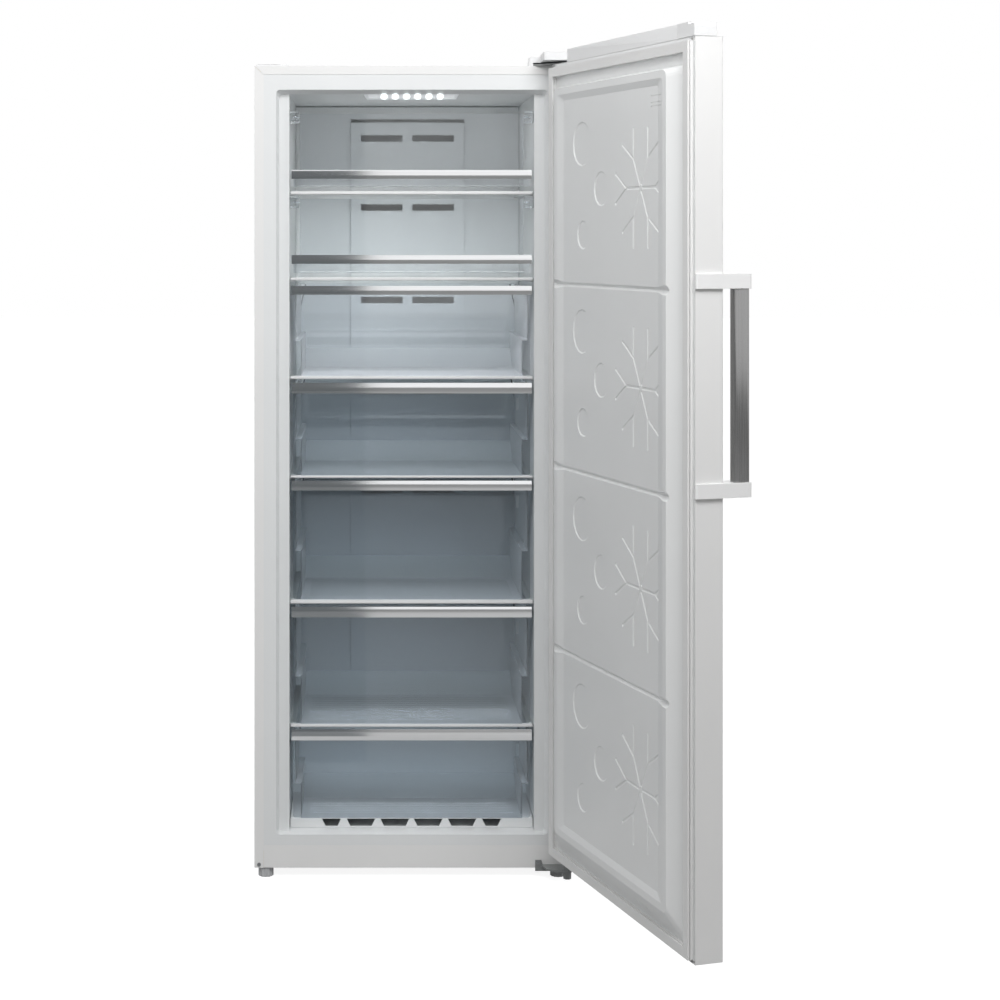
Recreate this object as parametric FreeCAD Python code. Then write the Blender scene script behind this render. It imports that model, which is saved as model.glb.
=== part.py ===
import FreeCAD, Part
import math
import os
from FreeCAD import Vector

# Upright freezer with its door standing open, in millimetres.
# X runs to the right, Y back into the cabinet and Z up. The origin lies on the floor,
# in the middle of the cabinet's width and under its front edge.

# ---------------------------------------------------------------- driving dimensions

CABINET_WIDTH = 710.0
CABINET_DEPTH = 640.0
CABINET_BASE = 22.0
CABINET_TOP = 1827.0
SHEET = 1.0
FLANGE_SIDE = 21.0
FLANGE_TOP = 19.0

LINER = 1.5
CAVITY_HALF = 277.0
CAVITY_FLOOR = 99.0
CAVITY_CEILING = 1765.0
CAVITY_BACK = 555.0
RECESS_DEPTH = 22.0
RECESS_HALF_FRONT = 306.0
RECESS_HALF = 300.0
RECESS_FLOOR_FRONT = 96.5
RECESS_CEILING_FRONT = 1774.0
RECESS_RADIUS = 8.0
HUMP_FOOT = 252.0
HUMP_SHOULDER = 396.0
HUMP_TOP = 320.0
KICK_TOP = 73.0

# Glass shelves from the top down: underside and top of each front trim.
SHELF_TRIMS = [(1538.0, 1546.0), (1343.0, 1350.0), (1119.0, 1126.0),
               (894.5, 900.0), (609.0, 618.0), (329.0, 336.0)]
GLASS = 4.0
SHELF_FRONT = 38.0
SHELF_REAR = 448.0
TRIM_REAR = 53.0

# Drawers from the top down: underside, lower and upper edge of the grip strip.
DRAWERS = [(1126.5, 1311.0, 1331.0), (900.5, 1087.0, 1111.0), (618.5, 867.0, 889.0),
           (336.5, 579.0, 603.0), (122.5, 300.0, 325.0)]
DRAWER_FRONT = 40.0
DRAWER_FLOOR_REAR = 320.0
DRAWER_TOP_REAR = 436.0
LOW_DRAWER_FLOOR_REAR = 196.0
LOW_DRAWER_TOP_REAR = 292.0
DRAWER_WALL = 2.5
DRAWER_HALF = 264.0
DRAWER_HALF_LOW = 251.5
DRAWER_PLATE_HALF = 269.0
STRIP_HALF = 272.5
DRAWER_SLOT = 240.5

# Flaps from the top down: pivot height, upper edge, strip's lower and upper edge, lower edge.
FLAPS = [(1714.0, 1722.0, 1574.0, 1594.0, 1556.0), (1521.0, 1528.5, 1381.0, 1401.0, 1360.0)]
FLAP_PIVOT_Y = 48.0
FLAP_HALF = 254.0
FLAP_HALF_LOW = 268.0

DOOR_OPEN = 107.0
DOOR_HALF = 354.5
DOOR_INNER = -12.5
DOOR_THICKNESS = 59.5
DOOR_BOTTOM = 62.5
DOOR_TOP = 1824.5
CAP_TOP = 1854.0
PIN_X = 345.0
PIN_Y = -44.6
PIN_RADIUS = 5.0
RUNNING_GAP = 0.05

# Feet, rollers and floor.
BASE_PLATE_FRONT = 60.0
BASE_SHEET = 1.2
FOOT_X = 329.5
FOOT_Y = 19.0
FOOT_RADIUS = 17.0
FOOT_HEIGHT = 20.0
FOOT_STUD = 5.0
FOOT_STUD_TOP = 52.0
ROLLER_X = 300.0
ROLLER_Y = 600.0
ROLLER_RADIUS = 15.0
ROLLER_WIDTH = 20.0
AXLE_RADIUS = 3.0

# Hinges and screws.
ARM_TOP = 1831.0
ARM_RADIUS = 10.0
COVER_BOTTOM = 1834.5
COVER_TOP = 1852.5
LOW_PLATE = (26.0, 30.0)
LOW_PIN_TOP = 84.0
COLLAR_TOP = 58.0
SCREW_RADIUS = 4.2
TAB_SCREW = (284.0, 33.5)
CORNER_SCREW = (344.5, 29.5)

# Air circuit and light.
DUCT_HALF = 140.0
DUCT_TOP = 1724.0
COVER_FRONT = 463.0
DUCT_FRONT = 455.0
OUTLET_LEVELS = [1685.0, 1514.0, 1285.0, 1060.0, 815.0, 520.0]
FAN_Z = 1180.0
FAN_RADIUS = 52.0
SHAFT_RADIUS = 2.0
RETURN_TOP = 122.0
RETURN_FRONT = 46.0

# Cooling machinery and the rear cover.
MACHINE_FRONT = 400.0
MACHINE_STEP = 170.0
MACHINE_SLOPE = 470.0
MACHINE_TOP = 255.0
COMPRESSOR_X = 175.0
COMPRESSOR_Y = 522.0
COMPRESSOR_RAIL = 62.0
RAIL_HEIGHT = 9.0
CONDENSER_Y = 480.0
CONDENSER_TOP = 150.0
TRAY_BOTTOM = 183.0
GLAND_X = -330.0
GLAND_Z = 42.0
GLAND_HALF = 11.0
GLAND_BORE = 4.5
COVER_REAR = CABINET_DEPTH - 0.5

# Door: heights are measured up from its inner plane, insets in from its edges.
HEM_DEPTH = 4.0
HEM_REACH = 20.0
LINER_INSET = 7.0
FOOT_INSET = 31.0
FOOT_INSET_TOP = 51.0
RIM_SIDE = 73.0
RIM_TOP = 58.0
RIM_BOTTOM = 76.0
RIM_RISE = 26.0
PANEL_RISE = 21.5
RIM_WIDTH = 14.0
RIM_SLOPE = 30.0
RIM_SLOPE_END = 14.0
GROOVE_FLOOR = 17.0
ORNAMENT_DEPTH = 1.8
DOOR_PITCH = 398.0
SLIT_X = -124.0
SLIT_Z = 110.0
LINE_X = -230.0
LINE_LEVELS = (1698.0, 1705.0, 1718.5)
CAP_START = 85.0
CAP_END = 635.0
BUSH_HALF = 8.0
BUSH_DEPTH = 29.0

# Handle.
HANDLE_LOW = 946.6
HANDLE_HIGH = 1373.3
HANDLE_BLOCK = 28.2
HANDLE_REACH = 57.5

CABINET_HALF = CABINET_WIDTH / 2
DOOR_OUTER = DOOR_INNER - DOOR_THICKNESS
DOOR_LEVELS = [1340.5 - DOOR_PITCH * step for step in (2, 1, 0)]
ORNAMENT_LEVELS = [1541.0 - DOOR_PITCH * step for step in range(4)]

# ---------------------------------------------------------------- shapes and joints of shapes


def block(x0, x1, y0, y1, z0, z1):
    """A straight block between two corners."""
    return Part.makeBox(x1 - x0, y1 - y0, z1 - z0, Vector(x0, y0, z0))


def rod(radius, start, end):
    """A round bar from one point to another."""
    line = Vector(*end) - Vector(*start)
    return Part.makeCylinder(radius, line.Length, Vector(*start), line)


def extruded(points, travel):
    """The solid that a flat outline sweeps along a straight line."""
    wire = Part.makePolygon(points + points[:1])
    return Part.Face(wire).extrude(travel)


def along_x(outline, x0, x1):
    """A (y, z) outline drawn out from x0 to x1."""
    return extruded([Vector(x0, y, z) for y, z in outline], Vector(x1 - x0, 0, 0))


def along_y(outline, y0, y1):
    """An (x, z) outline drawn out from y0 to y1."""
    return extruded([Vector(x, y0, z) for x, z in outline], Vector(0, y1 - y0, 0))


def along_z(outline, z0, z1):
    """An (x, y) outline drawn out from z0 to z1."""
    return extruded([Vector(x, y, z0) for x, y in outline], Vector(0, 0, z1 - z0))


def many_sided(sides, radius, centre, dent=0.0):
    """Corner points of a regular figure about a centre; a dent draws every second one in."""
    points = []
    for step in range(sides):
        reach = radius - dent * (step % 2)
        angle = 2 * math.pi * step / sides
        points.append((centre[0] + reach * math.cos(angle), centre[1] + reach * math.sin(angle)))
    return points


def clipped(a0, a1, b0, b1, clip):
    """Corner points of a rectangle whose corners are cut off straight."""
    return [(a0 + clip, b0), (a1 - clip, b0), (a1, b0 + clip), (a1, b1 - clip),
            (a1 - clip, b1), (a0 + clip, b1), (a0, b1 - clip), (a0, b0 + clip)]


def rounded(a0, a1, b0, b1, radii, steps=3):
    """Corner points of a rectangle with its own radius at each corner, each turn in short steps.

    The radii are those at (a0, b0), (a1, b0), (a1, b1) and (a0, b1), zero for a sharp corner.
    """
    corners = [(a0, b0, 1, 1, 180), (a1, b0, -1, 1, 270), (a1, b1, -1, -1, 0), (a0, b1, 1, -1, 90)]
    points = []
    for (a, b, sa, sb, first), radius in zip(corners, radii):
        if radius == 0:
            points.append((a, b))
            continue
        for step in range(steps + 1):
            angle = math.radians(first + 90 * step / steps)
            points.append((a + sa * radius + radius * math.cos(angle),
                           b + sb * radius + radius * math.sin(angle)))
    return points


def in_front(y):
    """Places an (x, z) pair in the upright plane at depth y."""
    return lambda x, z: Vector(x, y, z)


def in_plan(z):
    """Places an (x, y) pair in the level plane at height z."""
    return lambda x, y: Vector(x, y, z)


def panel(x0, x1, z0, z1, radius, y0, y1):
    """An upright panel with four round corners, from y0 to y1."""
    return along_y(rounded(x0, x1, z0, z1, [radius] * 4), y0, y1)


def slab(x0, x1, y0, y1, radii, z0, z1):
    """A level slab with a radius at each corner, from z0 to z1."""
    return along_z(rounded(x0, x1, y0, y1, radii), z0, z1)


def tapered(low, high):
    """A solid with flat slanting sides between two parallel outlines of equally many points."""
    count = len(low)
    faces = [Part.Face(Part.makePolygon(ring + ring[:1])) for ring in (low, high)]
    for index in range(count):
        following = (index + 1) % count
        side = [low[index], low[following], high[following], high[index], low[index]]
        faces.append(Part.Face(Part.makePolygon(side)))
    shell = Part.makeShell(faces)
    shell.sewShape()
    solid = Part.makeSolid(shell)
    if solid.Volume < 0:
        solid.reverse()
    return solid


def placed(points, place):
    """The points in space of a flat outline."""
    return [place(a, b) for a, b in points]


def joined(shapes):
    """One solid out of pieces that overlap or touch."""
    whole = shapes[0]
    if len(shapes) > 1:
        whole = whole.multiFuse(shapes[1:])
    return whole.removeSplitter()


def mirrored(shape):
    """The same shape on the other side of the cabinet's middle."""
    return shape.mirror(Vector(0, 0, 0), Vector(1, 0, 0))


def swung(shape):
    """A door piece turned about the hinge pins from the closed door to the open one."""
    open_shape = shape.copy()
    open_shape.rotate(Vector(PIN_X, PIN_Y, 0), Vector(0, 0, 1), DOOR_OPEN)
    return open_shape


# ---------------------------------------------------------------- cabinet casing


def arch(side, top, base):
    """An upright arch, a side and a top margin inside the cabinet's outline."""
    half = CABINET_HALF - side
    crown = CABINET_TOP - top
    return [(-half, base), (-half, crown), (half, crown), (half, base)]


def cabinet_wrapper():
    """Folded steel casing: two sides, the top and the front flange with its mitred corners."""
    mitre = 0.7
    skin = along_y(arch(0, 0, CABINET_BASE), 0, CABINET_DEPTH)
    skin = skin.cut(along_y(arch(SHEET, SHEET, CABINET_BASE - 1), -1, CABINET_DEPTH + 1))
    flange = along_y(arch(0, 0, CABINET_BASE), 0, SHEET)
    flange = flange.cut(along_y(arch(FLANGE_SIDE, FLANGE_TOP, CABINET_BASE - 1), -1, SHEET + 1))
    half, inner = CABINET_HALF - SHEET, CABINET_HALF - FLANGE_SIDE
    top, inner_top = CABINET_TOP - SHEET, CABINET_TOP - FLANGE_TOP
    slit = along_y([(half - 1, top - 1), (inner - 1, inner_top - 1), (inner - 1, inner_top - 1 + mitre),
                    (half - 1 - mitre, top - 1)], -1, SHEET + 1)
    flange = flange.cut(slit).cut(mirrored(slit))
    return joined([skin, flange])


def kick_plate():
    """Plate below the cavity, folded back under the cabinet and bored for the two feet."""
    margin = 0.3
    half = CABINET_HALF - FLANGE_SIDE - margin
    face = block(-half, half, 0, SHEET, CABINET_BASE, KICK_TOP - margin)
    fold = block(-CABINET_HALF + SHEET, CABINET_HALF - SHEET, SHEET, BASE_PLATE_FRONT,
                 CABINET_BASE, CABINET_BASE + BASE_SHEET)
    plate = joined([face, fold])
    for x in (-FOOT_X, FOOT_X):
        plate = plate.cut(foot_socket(x, RUNNING_GAP))
    return plate


def foot_socket(x, gap):
    """The hole that a foot's stud stands in."""
    return rod(FOOT_STUD + gap, (x, FOOT_Y, 0), (x, FOOT_Y, FOOT_STUD_TOP + 4))


def machine_space(skin):
    """Outline in (y, z) of the compressor's compartment, with a skin's thickness around it."""
    slope = 0.5 * skin
    return [(MACHINE_FRONT - skin, CABINET_BASE + BASE_SHEET),
            (MACHINE_FRONT - skin, MACHINE_STEP + slope),
            (MACHINE_SLOPE - slope, MACHINE_TOP + skin),
            (CABINET_DEPTH, MACHINE_TOP + skin), (CABINET_DEPTH, CABINET_BASE + BASE_SHEET)]


def back_panel():
    """Rear sheet, folded forward over the compartment and down its front wall."""
    half = CABINET_HALF - SHEET
    rear = block(-half, half, CABINET_DEPTH - SHEET, CABINET_DEPTH, MACHINE_TOP + SHEET,
                 CABINET_TOP - SHEET)
    step = along_x(machine_space(SHEET), -half, half)
    return joined([rear, step.cut(along_x(machine_space(0), -half - 1, half + 1))])


def base_plate():
    """Steel floor with the compressor's rails and, at both rollers, a slot, two ears and an axle."""
    half = CABINET_HALF - SHEET
    floor = block(-half, half, BASE_PLATE_FRONT, CABINET_DEPTH - 2, CABINET_BASE,
                  CABINET_BASE + BASE_SHEET)
    lip = block(-half, half, CABINET_DEPTH - 3, CABINET_DEPTH - 2, CABINET_BASE, CABINET_BASE + 9)
    beams = [floor, lip]
    for x in (-COMPRESSOR_RAIL, COMPRESSOR_RAIL):
        beams.append(block(COMPRESSOR_X + x - 9, COMPRESSOR_X + x + 9, MACHINE_FRONT + 4,
                           CABINET_DEPTH - 3, CABINET_BASE, CABINET_BASE + RAIL_HEIGHT))
    plate = joined(beams)
    reach = ROLLER_RADIUS + 3
    for x in (-ROLLER_X, ROLLER_X):
        plate = plate.cut(block(x - ROLLER_WIDTH / 2 - 1, x + ROLLER_WIDTH / 2 + 1,
                                ROLLER_Y - reach, ROLLER_Y + reach, 0, CABINET_BASE + 10))
    ears = []
    ear = [(ROLLER_Y - 10, CABINET_BASE + 1), (ROLLER_Y - 6, ROLLER_RADIUS - 6),
           (ROLLER_Y + 6, ROLLER_RADIUS - 6), (ROLLER_Y + 10, CABINET_BASE + 1)]
    for x in (-ROLLER_X, ROLLER_X):
        for side in (-1, 1):
            start = x + side * (ROLLER_WIDTH / 2 + 1)
            ears.append(along_x(ear, start, start + side * 2))
    reach = ROLLER_WIDTH / 2 + 2
    for x in (-ROLLER_X, ROLLER_X):
        ears.append(rod(AXLE_RADIUS, (x - reach, ROLLER_Y, ROLLER_RADIUS), (x + reach, ROLLER_Y, ROLLER_RADIUS)))
    return joined([plate] + ears)


# ---------------------------------------------------------------- liner and insulation


def recess_ring(y, grow):
    """The shallow step behind the front edge that the door's rim closes into."""
    share = y / RECESS_DEPTH
    half = RECESS_HALF_FRONT + (RECESS_HALF - RECESS_HALF_FRONT) * share + grow
    low = RECESS_FLOOR_FRONT + (CAVITY_FLOOR - RECESS_FLOOR_FRONT) * share - grow
    high = RECESS_CEILING_FRONT + (CAVITY_CEILING - RECESS_CEILING_FRONT) * share + grow
    return placed(rounded(-half, half, low, high, [RECESS_RADIUS] * 4), in_front(y))


def cavity(grow, front):
    """The cold space from the given front plane back, grown by a wall's thickness."""
    step = tapered(recess_ring(front, grow), recess_ring(RECESS_DEPTH + grow, grow))
    half, floor, ceiling = CAVITY_HALF + grow, CAVITY_FLOOR - grow, CAVITY_CEILING + grow
    rear = CAVITY_BACK + grow
    main = block(-half, half, RECESS_DEPTH - 4, rear, floor, ceiling)
    hump = along_x([(HUMP_FOOT + grow, floor), (HUMP_SHOULDER + grow, HUMP_TOP - grow),
                    (rear + 1, HUMP_TOP - grow), (rear + 1, floor - 1), (HUMP_FOOT + grow, floor - 1)],
                   -half - 1, half + 1)
    return joined([step, main.cut(hump)])


def liner_flange():
    """The liner's front edge, tucked behind the steel flange."""
    tuck = 6.0
    half = CABINET_HALF - FLANGE_SIDE + tuck
    return block(-half, half, SHEET, SHEET + LINER, KICK_TOP - 13, CABINET_TOP - FLANGE_TOP + tuck)


def shelf_ledges():
    """Moulded ledges on both side walls that the glass shelves lie on."""
    deep = 14.0
    ledges = []
    for low, high in SHELF_TRIMS:
        top = glass_underside(low, high)
        outline = [(CAVITY_HALF + 0.5, top), (CAVITY_HALF - deep, top),
                   (CAVITY_HALF - deep, top - 2), (CAVITY_HALF + 0.5, top - 5)]
        ledge = along_y(outline, TRIM_REAR + 1, SHELF_REAR - 4)
        ledges += [ledge, mirrored(ledge)]
    return ledges


def inner_liner():
    """Vacuum-formed liner: front edge, step, cavity walls, ledges and the compressor hump."""
    shell = joined([cavity(LINER, SHEET), liner_flange()]).cut(cavity(0, -1))
    return joined([shell] + shelf_ledges())


def cabinet_foam():
    """Insulation that fills the space between the casing and the liner."""
    half = CABINET_HALF - SHEET
    body = block(-half, half, SHEET, CABINET_DEPTH - SHEET, CABINET_BASE + BASE_SHEET,
                 CABINET_TOP - SHEET)
    body = body.cut(cavity(LINER, SHEET)).cut(liner_flange())
    body = body.cut(along_x(machine_space(SHEET), -half - 1, half + 1))
    for x in (-FOOT_X, FOOT_X):
        reach = FOOT_STUD + 1
        body = body.cut(block(x - reach, x + reach, FOOT_Y - reach, FOOT_Y + reach, 0, FOOT_STUD_TOP + 4))
    return body


# ---------------------------------------------------------------- feet and rollers


def foot(x):
    """Levelling foot: a ribbed wheel to turn by hand and its stud."""
    wheel = along_z(many_sided(24, FOOT_RADIUS, (x, FOOT_Y), 1.6), 0, FOOT_HEIGHT)
    stud = rod(FOOT_STUD, (x, FOOT_Y, FOOT_HEIGHT - 1), (x, FOOT_Y, FOOT_STUD_TOP))
    return joined([wheel, stud])


def roller(x):
    """Rear roller, bored for its axle."""
    half, bore = ROLLER_WIDTH / 2, AXLE_RADIUS + RUNNING_GAP
    wheel = along_x(many_sided(20, ROLLER_RADIUS, (ROLLER_Y, ROLLER_RADIUS)), x - half, x + half)
    return wheel.cut(rod(bore, (x - half - 1, ROLLER_Y, ROLLER_RADIUS),
                         (x + half + 1, ROLLER_Y, ROLLER_RADIUS)))


# ---------------------------------------------------------------- hinges and screws


def hinge_arm(z0, z1, rear, left):
    """A flat steel arm with a round nose about the hinge pin."""
    nose_left = PIN_X - ARM_RADIUS
    nose_right = PIN_X + ARM_RADIUS
    arm = along_z([(left, rear), (left, 6), (nose_left, PIN_Y), (nose_right, PIN_Y),
                   (nose_right, rear)], z0, z1)
    return joined([arm, along_z(many_sided(12, ARM_RADIUS, (PIN_X, PIN_Y)), z0, z1)])


def top_hinge_bracket():
    """Top hinge plate on the cabinet, with its pin riveted into the nose."""
    plate = hinge_arm(CABINET_TOP, ARM_TOP, 56, 268)
    pin = rod(PIN_RADIUS, (PIN_X, PIN_Y, 1800), (PIN_X, PIN_Y, CABINET_TOP + 1))
    return joined([plate, pin])


def top_hinge_cover():
    """Moulded cover: a low part on the cabinet's top and a taller nose over the pin."""
    low = along_y([(263.5, CABINET_TOP), (266.5, 1848), (354, 1848), (354, CABINET_TOP)], 2, 62)
    bridge = block(290, 354, -6, 10, ARM_TOP + 0.5, 1848)
    nose = slab(290, 355, -72, 12, [6, 2, 2, 2], COVER_BOTTOM, COVER_TOP)
    cover = joined([low, bridge, nose])
    return cover.cut(hinge_arm(CABINET_TOP - 1, ARM_TOP + 3.2, 56.2, 267.8))


def hinge_blank_cap():
    """Low cap over the spare hinge holes on the left, for a door hung the other way."""
    base = along_z(clipped(-351, -277, 4, 56, 2), CABINET_TOP, CABINET_TOP + 3)
    crown = along_z(clipped(-349, -296, 7, 53, 2), CABINET_TOP + 3, CABINET_TOP + 4.2)
    boss = along_z(clipped(-293, -280, 10, 50, 2), CABINET_TOP + 3, CABINET_TOP + 5.4)
    return joined([base, crown, boss])


def bottom_hinge_bracket():
    """Steel angle below the door: a leg screwed to the front and a shelf that carries the pin."""
    low, high = LOW_PLATE
    leg = along_y([(277, 15.5), (277, 40), (291, 40), (294, high), (352, high), (352, 15.5)], -3, 0)
    right = PIN_X + ARM_RADIUS
    shelf = along_z([(291, -3), (300, -34), (PIN_X - 6, PIN_Y - 8), (right, PIN_Y), (right, -3)], low, high)
    nose = along_z(many_sided(12, ARM_RADIUS, (PIN_X, PIN_Y)), low, high)
    return joined([leg, shelf, nose]).cut(low_pin_shank())


def low_pin_shank():
    """The part of the lower hinge pin that passes through the bracket."""
    return rod(PIN_RADIUS, (PIN_X, PIN_Y, 12), (PIN_X, PIN_Y, LOW_PIN_TOP))


def bottom_hinge_pin():
    """Screwed-in lower pin: six-sided head below, collar above the bracket, pin end on top."""
    low, high = LOW_PLATE
    head = along_z(many_sided(6, 9, (PIN_X, PIN_Y)), 12, low)
    collar = along_z(many_sided(12, 8.5, (PIN_X, PIN_Y)), high, COLLAR_TOP)
    return joined([low_pin_shank(), head, collar])


def screw_head(x, z):
    """A pan head lying on the front plane, seen from the front."""
    head = along_y(many_sided(12, SCREW_RADIUS, (x, z)), -2.2, 0)
    return head.cut(block(x - 3, x + 3, -3, -1.2, z - 0.6, z + 0.6))


def cabinet_screws():
    """Screws of the lower hinge plate and of the casing's lower corner."""
    x, z = TAB_SCREW
    tab = screw_head(x, z)
    tab.translate(Vector(0, -3, 0))
    x, z = CORNER_SCREW
    return Part.makeCompound([tab, screw_head(-x, z)])


# ---------------------------------------------------------------- shelves and flaps


def glass_underside(low, high):
    """Height of a glass plate's underside inside its trim."""
    return (low + high) / 2 - GLASS / 2


def glass_shelf(low, high):
    """Toughened glass plate with its rear corners cut off."""
    under = glass_underside(low, high)
    half, clip = CAVITY_HALF - 1.5, 8.0
    outline = [(-half, SHELF_FRONT + 4), (half, SHELF_FRONT + 4), (half, SHELF_REAR - clip),
               (half - clip, SHELF_REAR), (clip - half, SHELF_REAR), (-half, SHELF_REAR - clip)]
    return along_z(outline, under, under + GLASS)


def shelf_trims():
    """White front trims, each with a groove that holds the edge of its glass."""
    half, nose, back = CAVITY_HALF - 2.5, 2.0, TRIM_REAR
    trims = []
    for low, high in SHELF_TRIMS:
        outline = [(SHELF_FRONT, low + nose), (SHELF_FRONT, high - 0.8), (SHELF_FRONT + 0.8, high),
                   (back, high), (back, low), (SHELF_FRONT + nose, low)]
        trim = along_x(outline, -half, half)
        trims.append(trim.cut(glass_shelf(low, high)))
    return Part.makeCompound(trims)


def flap_panel(pivot, top, strip_low, strip_high, bottom):
    """Clear flap: a sheet with stiffening sides, a wider foot, a finger lip and two pivot pins."""
    front = DRAWER_FRONT + 2
    sheet = block(-FLAP_HALF, FLAP_HALF, front, front + 3, strip_low, top)
    foot_sheet = panel(-FLAP_HALF_LOW, FLAP_HALF_LOW, bottom, strip_high, 3, front, front + 3)
    lip = along_x([(front, bottom), (front - 4, bottom + 1), (front - 4, bottom + 3),
                   (front + 1, bottom + 4)], -FLAP_HALF_LOW + 12, FLAP_HALF_LOW - 12)
    pieces = [sheet, foot_sheet, lip]
    for side in (-1, 1):
        edge = side * FLAP_HALF
        x0, x1 = sorted((edge, edge - side * 2.5))
        web = along_x([(front + 2, bottom + 6), (front + 2, top), (front + 9, top),
                       (front + 14, pivot - 8), (front + 10, bottom + 6)], x0, x1)
        pin = rod(3.0, (edge - side, FLAP_PIVOT_Y, pivot), (edge + side * 14, FLAP_PIVOT_Y, pivot))
        pieces += [web, pin]
    return joined(pieces)


def strip(z0, z1, back, proud):
    """Metal strip drawn along X: a bowed face between two folded edges."""
    face = back - proud
    bow = 0.9
    middle = (z0 + z1) / 2
    corner = [Vector(-STRIP_HALF, back, z1), Vector(-STRIP_HALF, face + bow, z1),
              Vector(-STRIP_HALF, face, middle), Vector(-STRIP_HALF, face + bow, z0),
              Vector(-STRIP_HALF, back, z0)]
    edges = [Part.makeLine(corner[0], corner[1]), Part.Arc(*corner[1:4]).toShape(),
             Part.makeLine(corner[3], corner[4]), Part.makeLine(corner[4], corner[0])]
    return Part.Face(Part.Wire(edges)).extrude(Vector(2 * STRIP_HALF, 0, 0))


def flap_strip(strip_low, strip_high):
    """The flap's grip strip."""
    return strip(strip_low, strip_high, DRAWER_FRONT + 2, 7)


def flap_brackets():
    """Clear pivot brackets on the side walls, each bored for a flap's pin."""
    brackets = []
    for pivot, _, _, _, _ in FLAPS:
        outer = along_x(clipped(36, 60, pivot - 13.5, pivot + 13.5, 4), FLAP_HALF + 2, CAVITY_HALF)
        bore = rod(3.0 + RUNNING_GAP, (FLAP_HALF, FLAP_PIVOT_Y, pivot), (FLAP_HALF + 16, FLAP_PIVOT_Y, pivot))
        bracket = outer.cut(bore)
        brackets += [bracket, mirrored(bracket)]
    return Part.makeCompound(brackets)


# ---------------------------------------------------------------- drawers


def side_outline(inset, low, rim, floor_rear, top_rear):
    """A drawer's side view as (y, z): level floor, sloping heel and a near upright rear."""
    heel = 42.0
    steep = top_rear - (top_rear - floor_rear) * 0.28
    return [(DRAWER_FRONT, low + inset), (floor_rear - inset * 0.6, low + inset),
            (steep - inset, low + heel + inset * 0.4), (top_rear - inset, rim), (DRAWER_FRONT, rim)]


def drawer_plan(half, rear, corner):
    """A drawer's outline from above: square in front, cut corners at the rear."""
    return [(-half, DRAWER_FRONT), (half, DRAWER_FRONT), (half, rear - corner), (half - corner, rear),
            (corner - half, rear), (-half, rear - corner)]


def drawer_volume(inset, low, ledge, rim, floor_rear, top_rear):
    """The drawer's stepped form: narrow below its side ledge and wide above."""
    corner = 14.0 - inset
    narrow, wide = DRAWER_HALF_LOW - inset, DRAWER_HALF - inset
    lower = along_z(drawer_plan(narrow, top_rear, corner), low, ledge)
    upper = along_z(drawer_plan(wide, top_rear, corner), ledge - DRAWER_WALL + inset, rim)
    side = along_x(side_outline(inset, low, rim, floor_rear, top_rear), -wide - 5, wide + 5)
    return joined([lower, upper]).common(side)


def drawer_bin(low, strip_low, strip_high, floor_rear, top_rear, floor_ribs):
    """Clear moulded drawer: stepped tub, rim, ribbed floor and a framed window in front."""
    rim = strip_high - 4.0
    ledge = low + 0.45 * (strip_low - low)
    shell = drawer_volume(0, low, ledge, rim, floor_rear, top_rear)
    hollow = drawer_volume(DRAWER_WALL, low, ledge, rim + 1, floor_rear, top_rear)
    front_wall = block(-300, 300, DRAWER_FRONT - 1, DRAWER_FRONT + DRAWER_WALL, low - 1, rim + 5)
    hollow = hollow.cut(front_wall)
    plate = panel(-DRAWER_PLATE_HALF, DRAWER_PLATE_HALF, low + 1, strip_high - 1, 6, DRAWER_FRONT,
                  DRAWER_FRONT + 4)
    window = along_y(clipped(-DRAWER_PLATE_HALF + 6, DRAWER_PLATE_HALF - 6, low + 7, strip_low - 2, 3),
                     DRAWER_FRONT - 1, DRAWER_FRONT + 1.2)
    collar = along_z(drawer_plan(DRAWER_HALF + 3, top_rear + 2, 14), rim - 2.5, rim)
    bowl = joined([shell, plate, collar]).cut(hollow)
    slot = block(DRAWER_SLOT - 3, DRAWER_SLOT + 3, DRAWER_FRONT - 1, DRAWER_FRONT + 5, rim - 58, rim - 30)
    bowl = bowl.cut(window).cut(slot)
    ribs = []
    if floor_ribs:
        pitch, first = 19.0, DRAWER_FRONT + 32
        for step in range(int((floor_rear - 14 - first) / pitch)):
            y = first + pitch * step
            ribs.append(along_x([(y, low + DRAWER_WALL - 0.5), (y + 1.5, low + DRAWER_WALL + 1.6),
                                 (y + 5.5, low + DRAWER_WALL + 1.6), (y + 7, low + DRAWER_WALL - 0.5)],
                                -232, 232))
    return joined([bowl] + ribs)


def drawer_strip(strip_low, strip_high):
    """A drawer's metal grip strip."""
    return strip(strip_low, strip_high, DRAWER_FRONT, 6)


# ---------------------------------------------------------------- air circuit and light


def evaporator_cover():
    """Rear wall of the cold space with a raised duct, its outlets and the slit above it."""
    wall = 2.5
    half = CAVITY_HALF - 1
    plate = block(-half, half, COVER_FRONT, COVER_FRONT + wall, HUMP_TOP + 2, CAVITY_CEILING - 2)
    duct = panel(-DUCT_HALF, DUCT_HALF, 345, DUCT_TOP, 3, DUCT_FRONT, COVER_FRONT + 1)
    inside = block(-DUCT_HALF + wall, DUCT_HALF - wall, DUCT_FRONT + wall, COVER_FRONT + 5,
                   345 + wall, DUCT_TOP - wall)
    cover = joined([plate, duct]).cut(inside)
    slit = block(-DUCT_HALF, DUCT_HALF, COVER_FRONT - 1, COVER_FRONT + 5, DUCT_TOP + 0.5, DUCT_TOP + 9)
    cover = cover.cut(slit)
    for level in OUTLET_LEVELS:
        for side in (-1, 1):
            x0, x1 = sorted((side * 12.0, side * 115.0))
            cover = cover.cut(block(x0, x1, DUCT_FRONT - 1, DUCT_FRONT + 5, level - 8, level + 8))
    return cover


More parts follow.
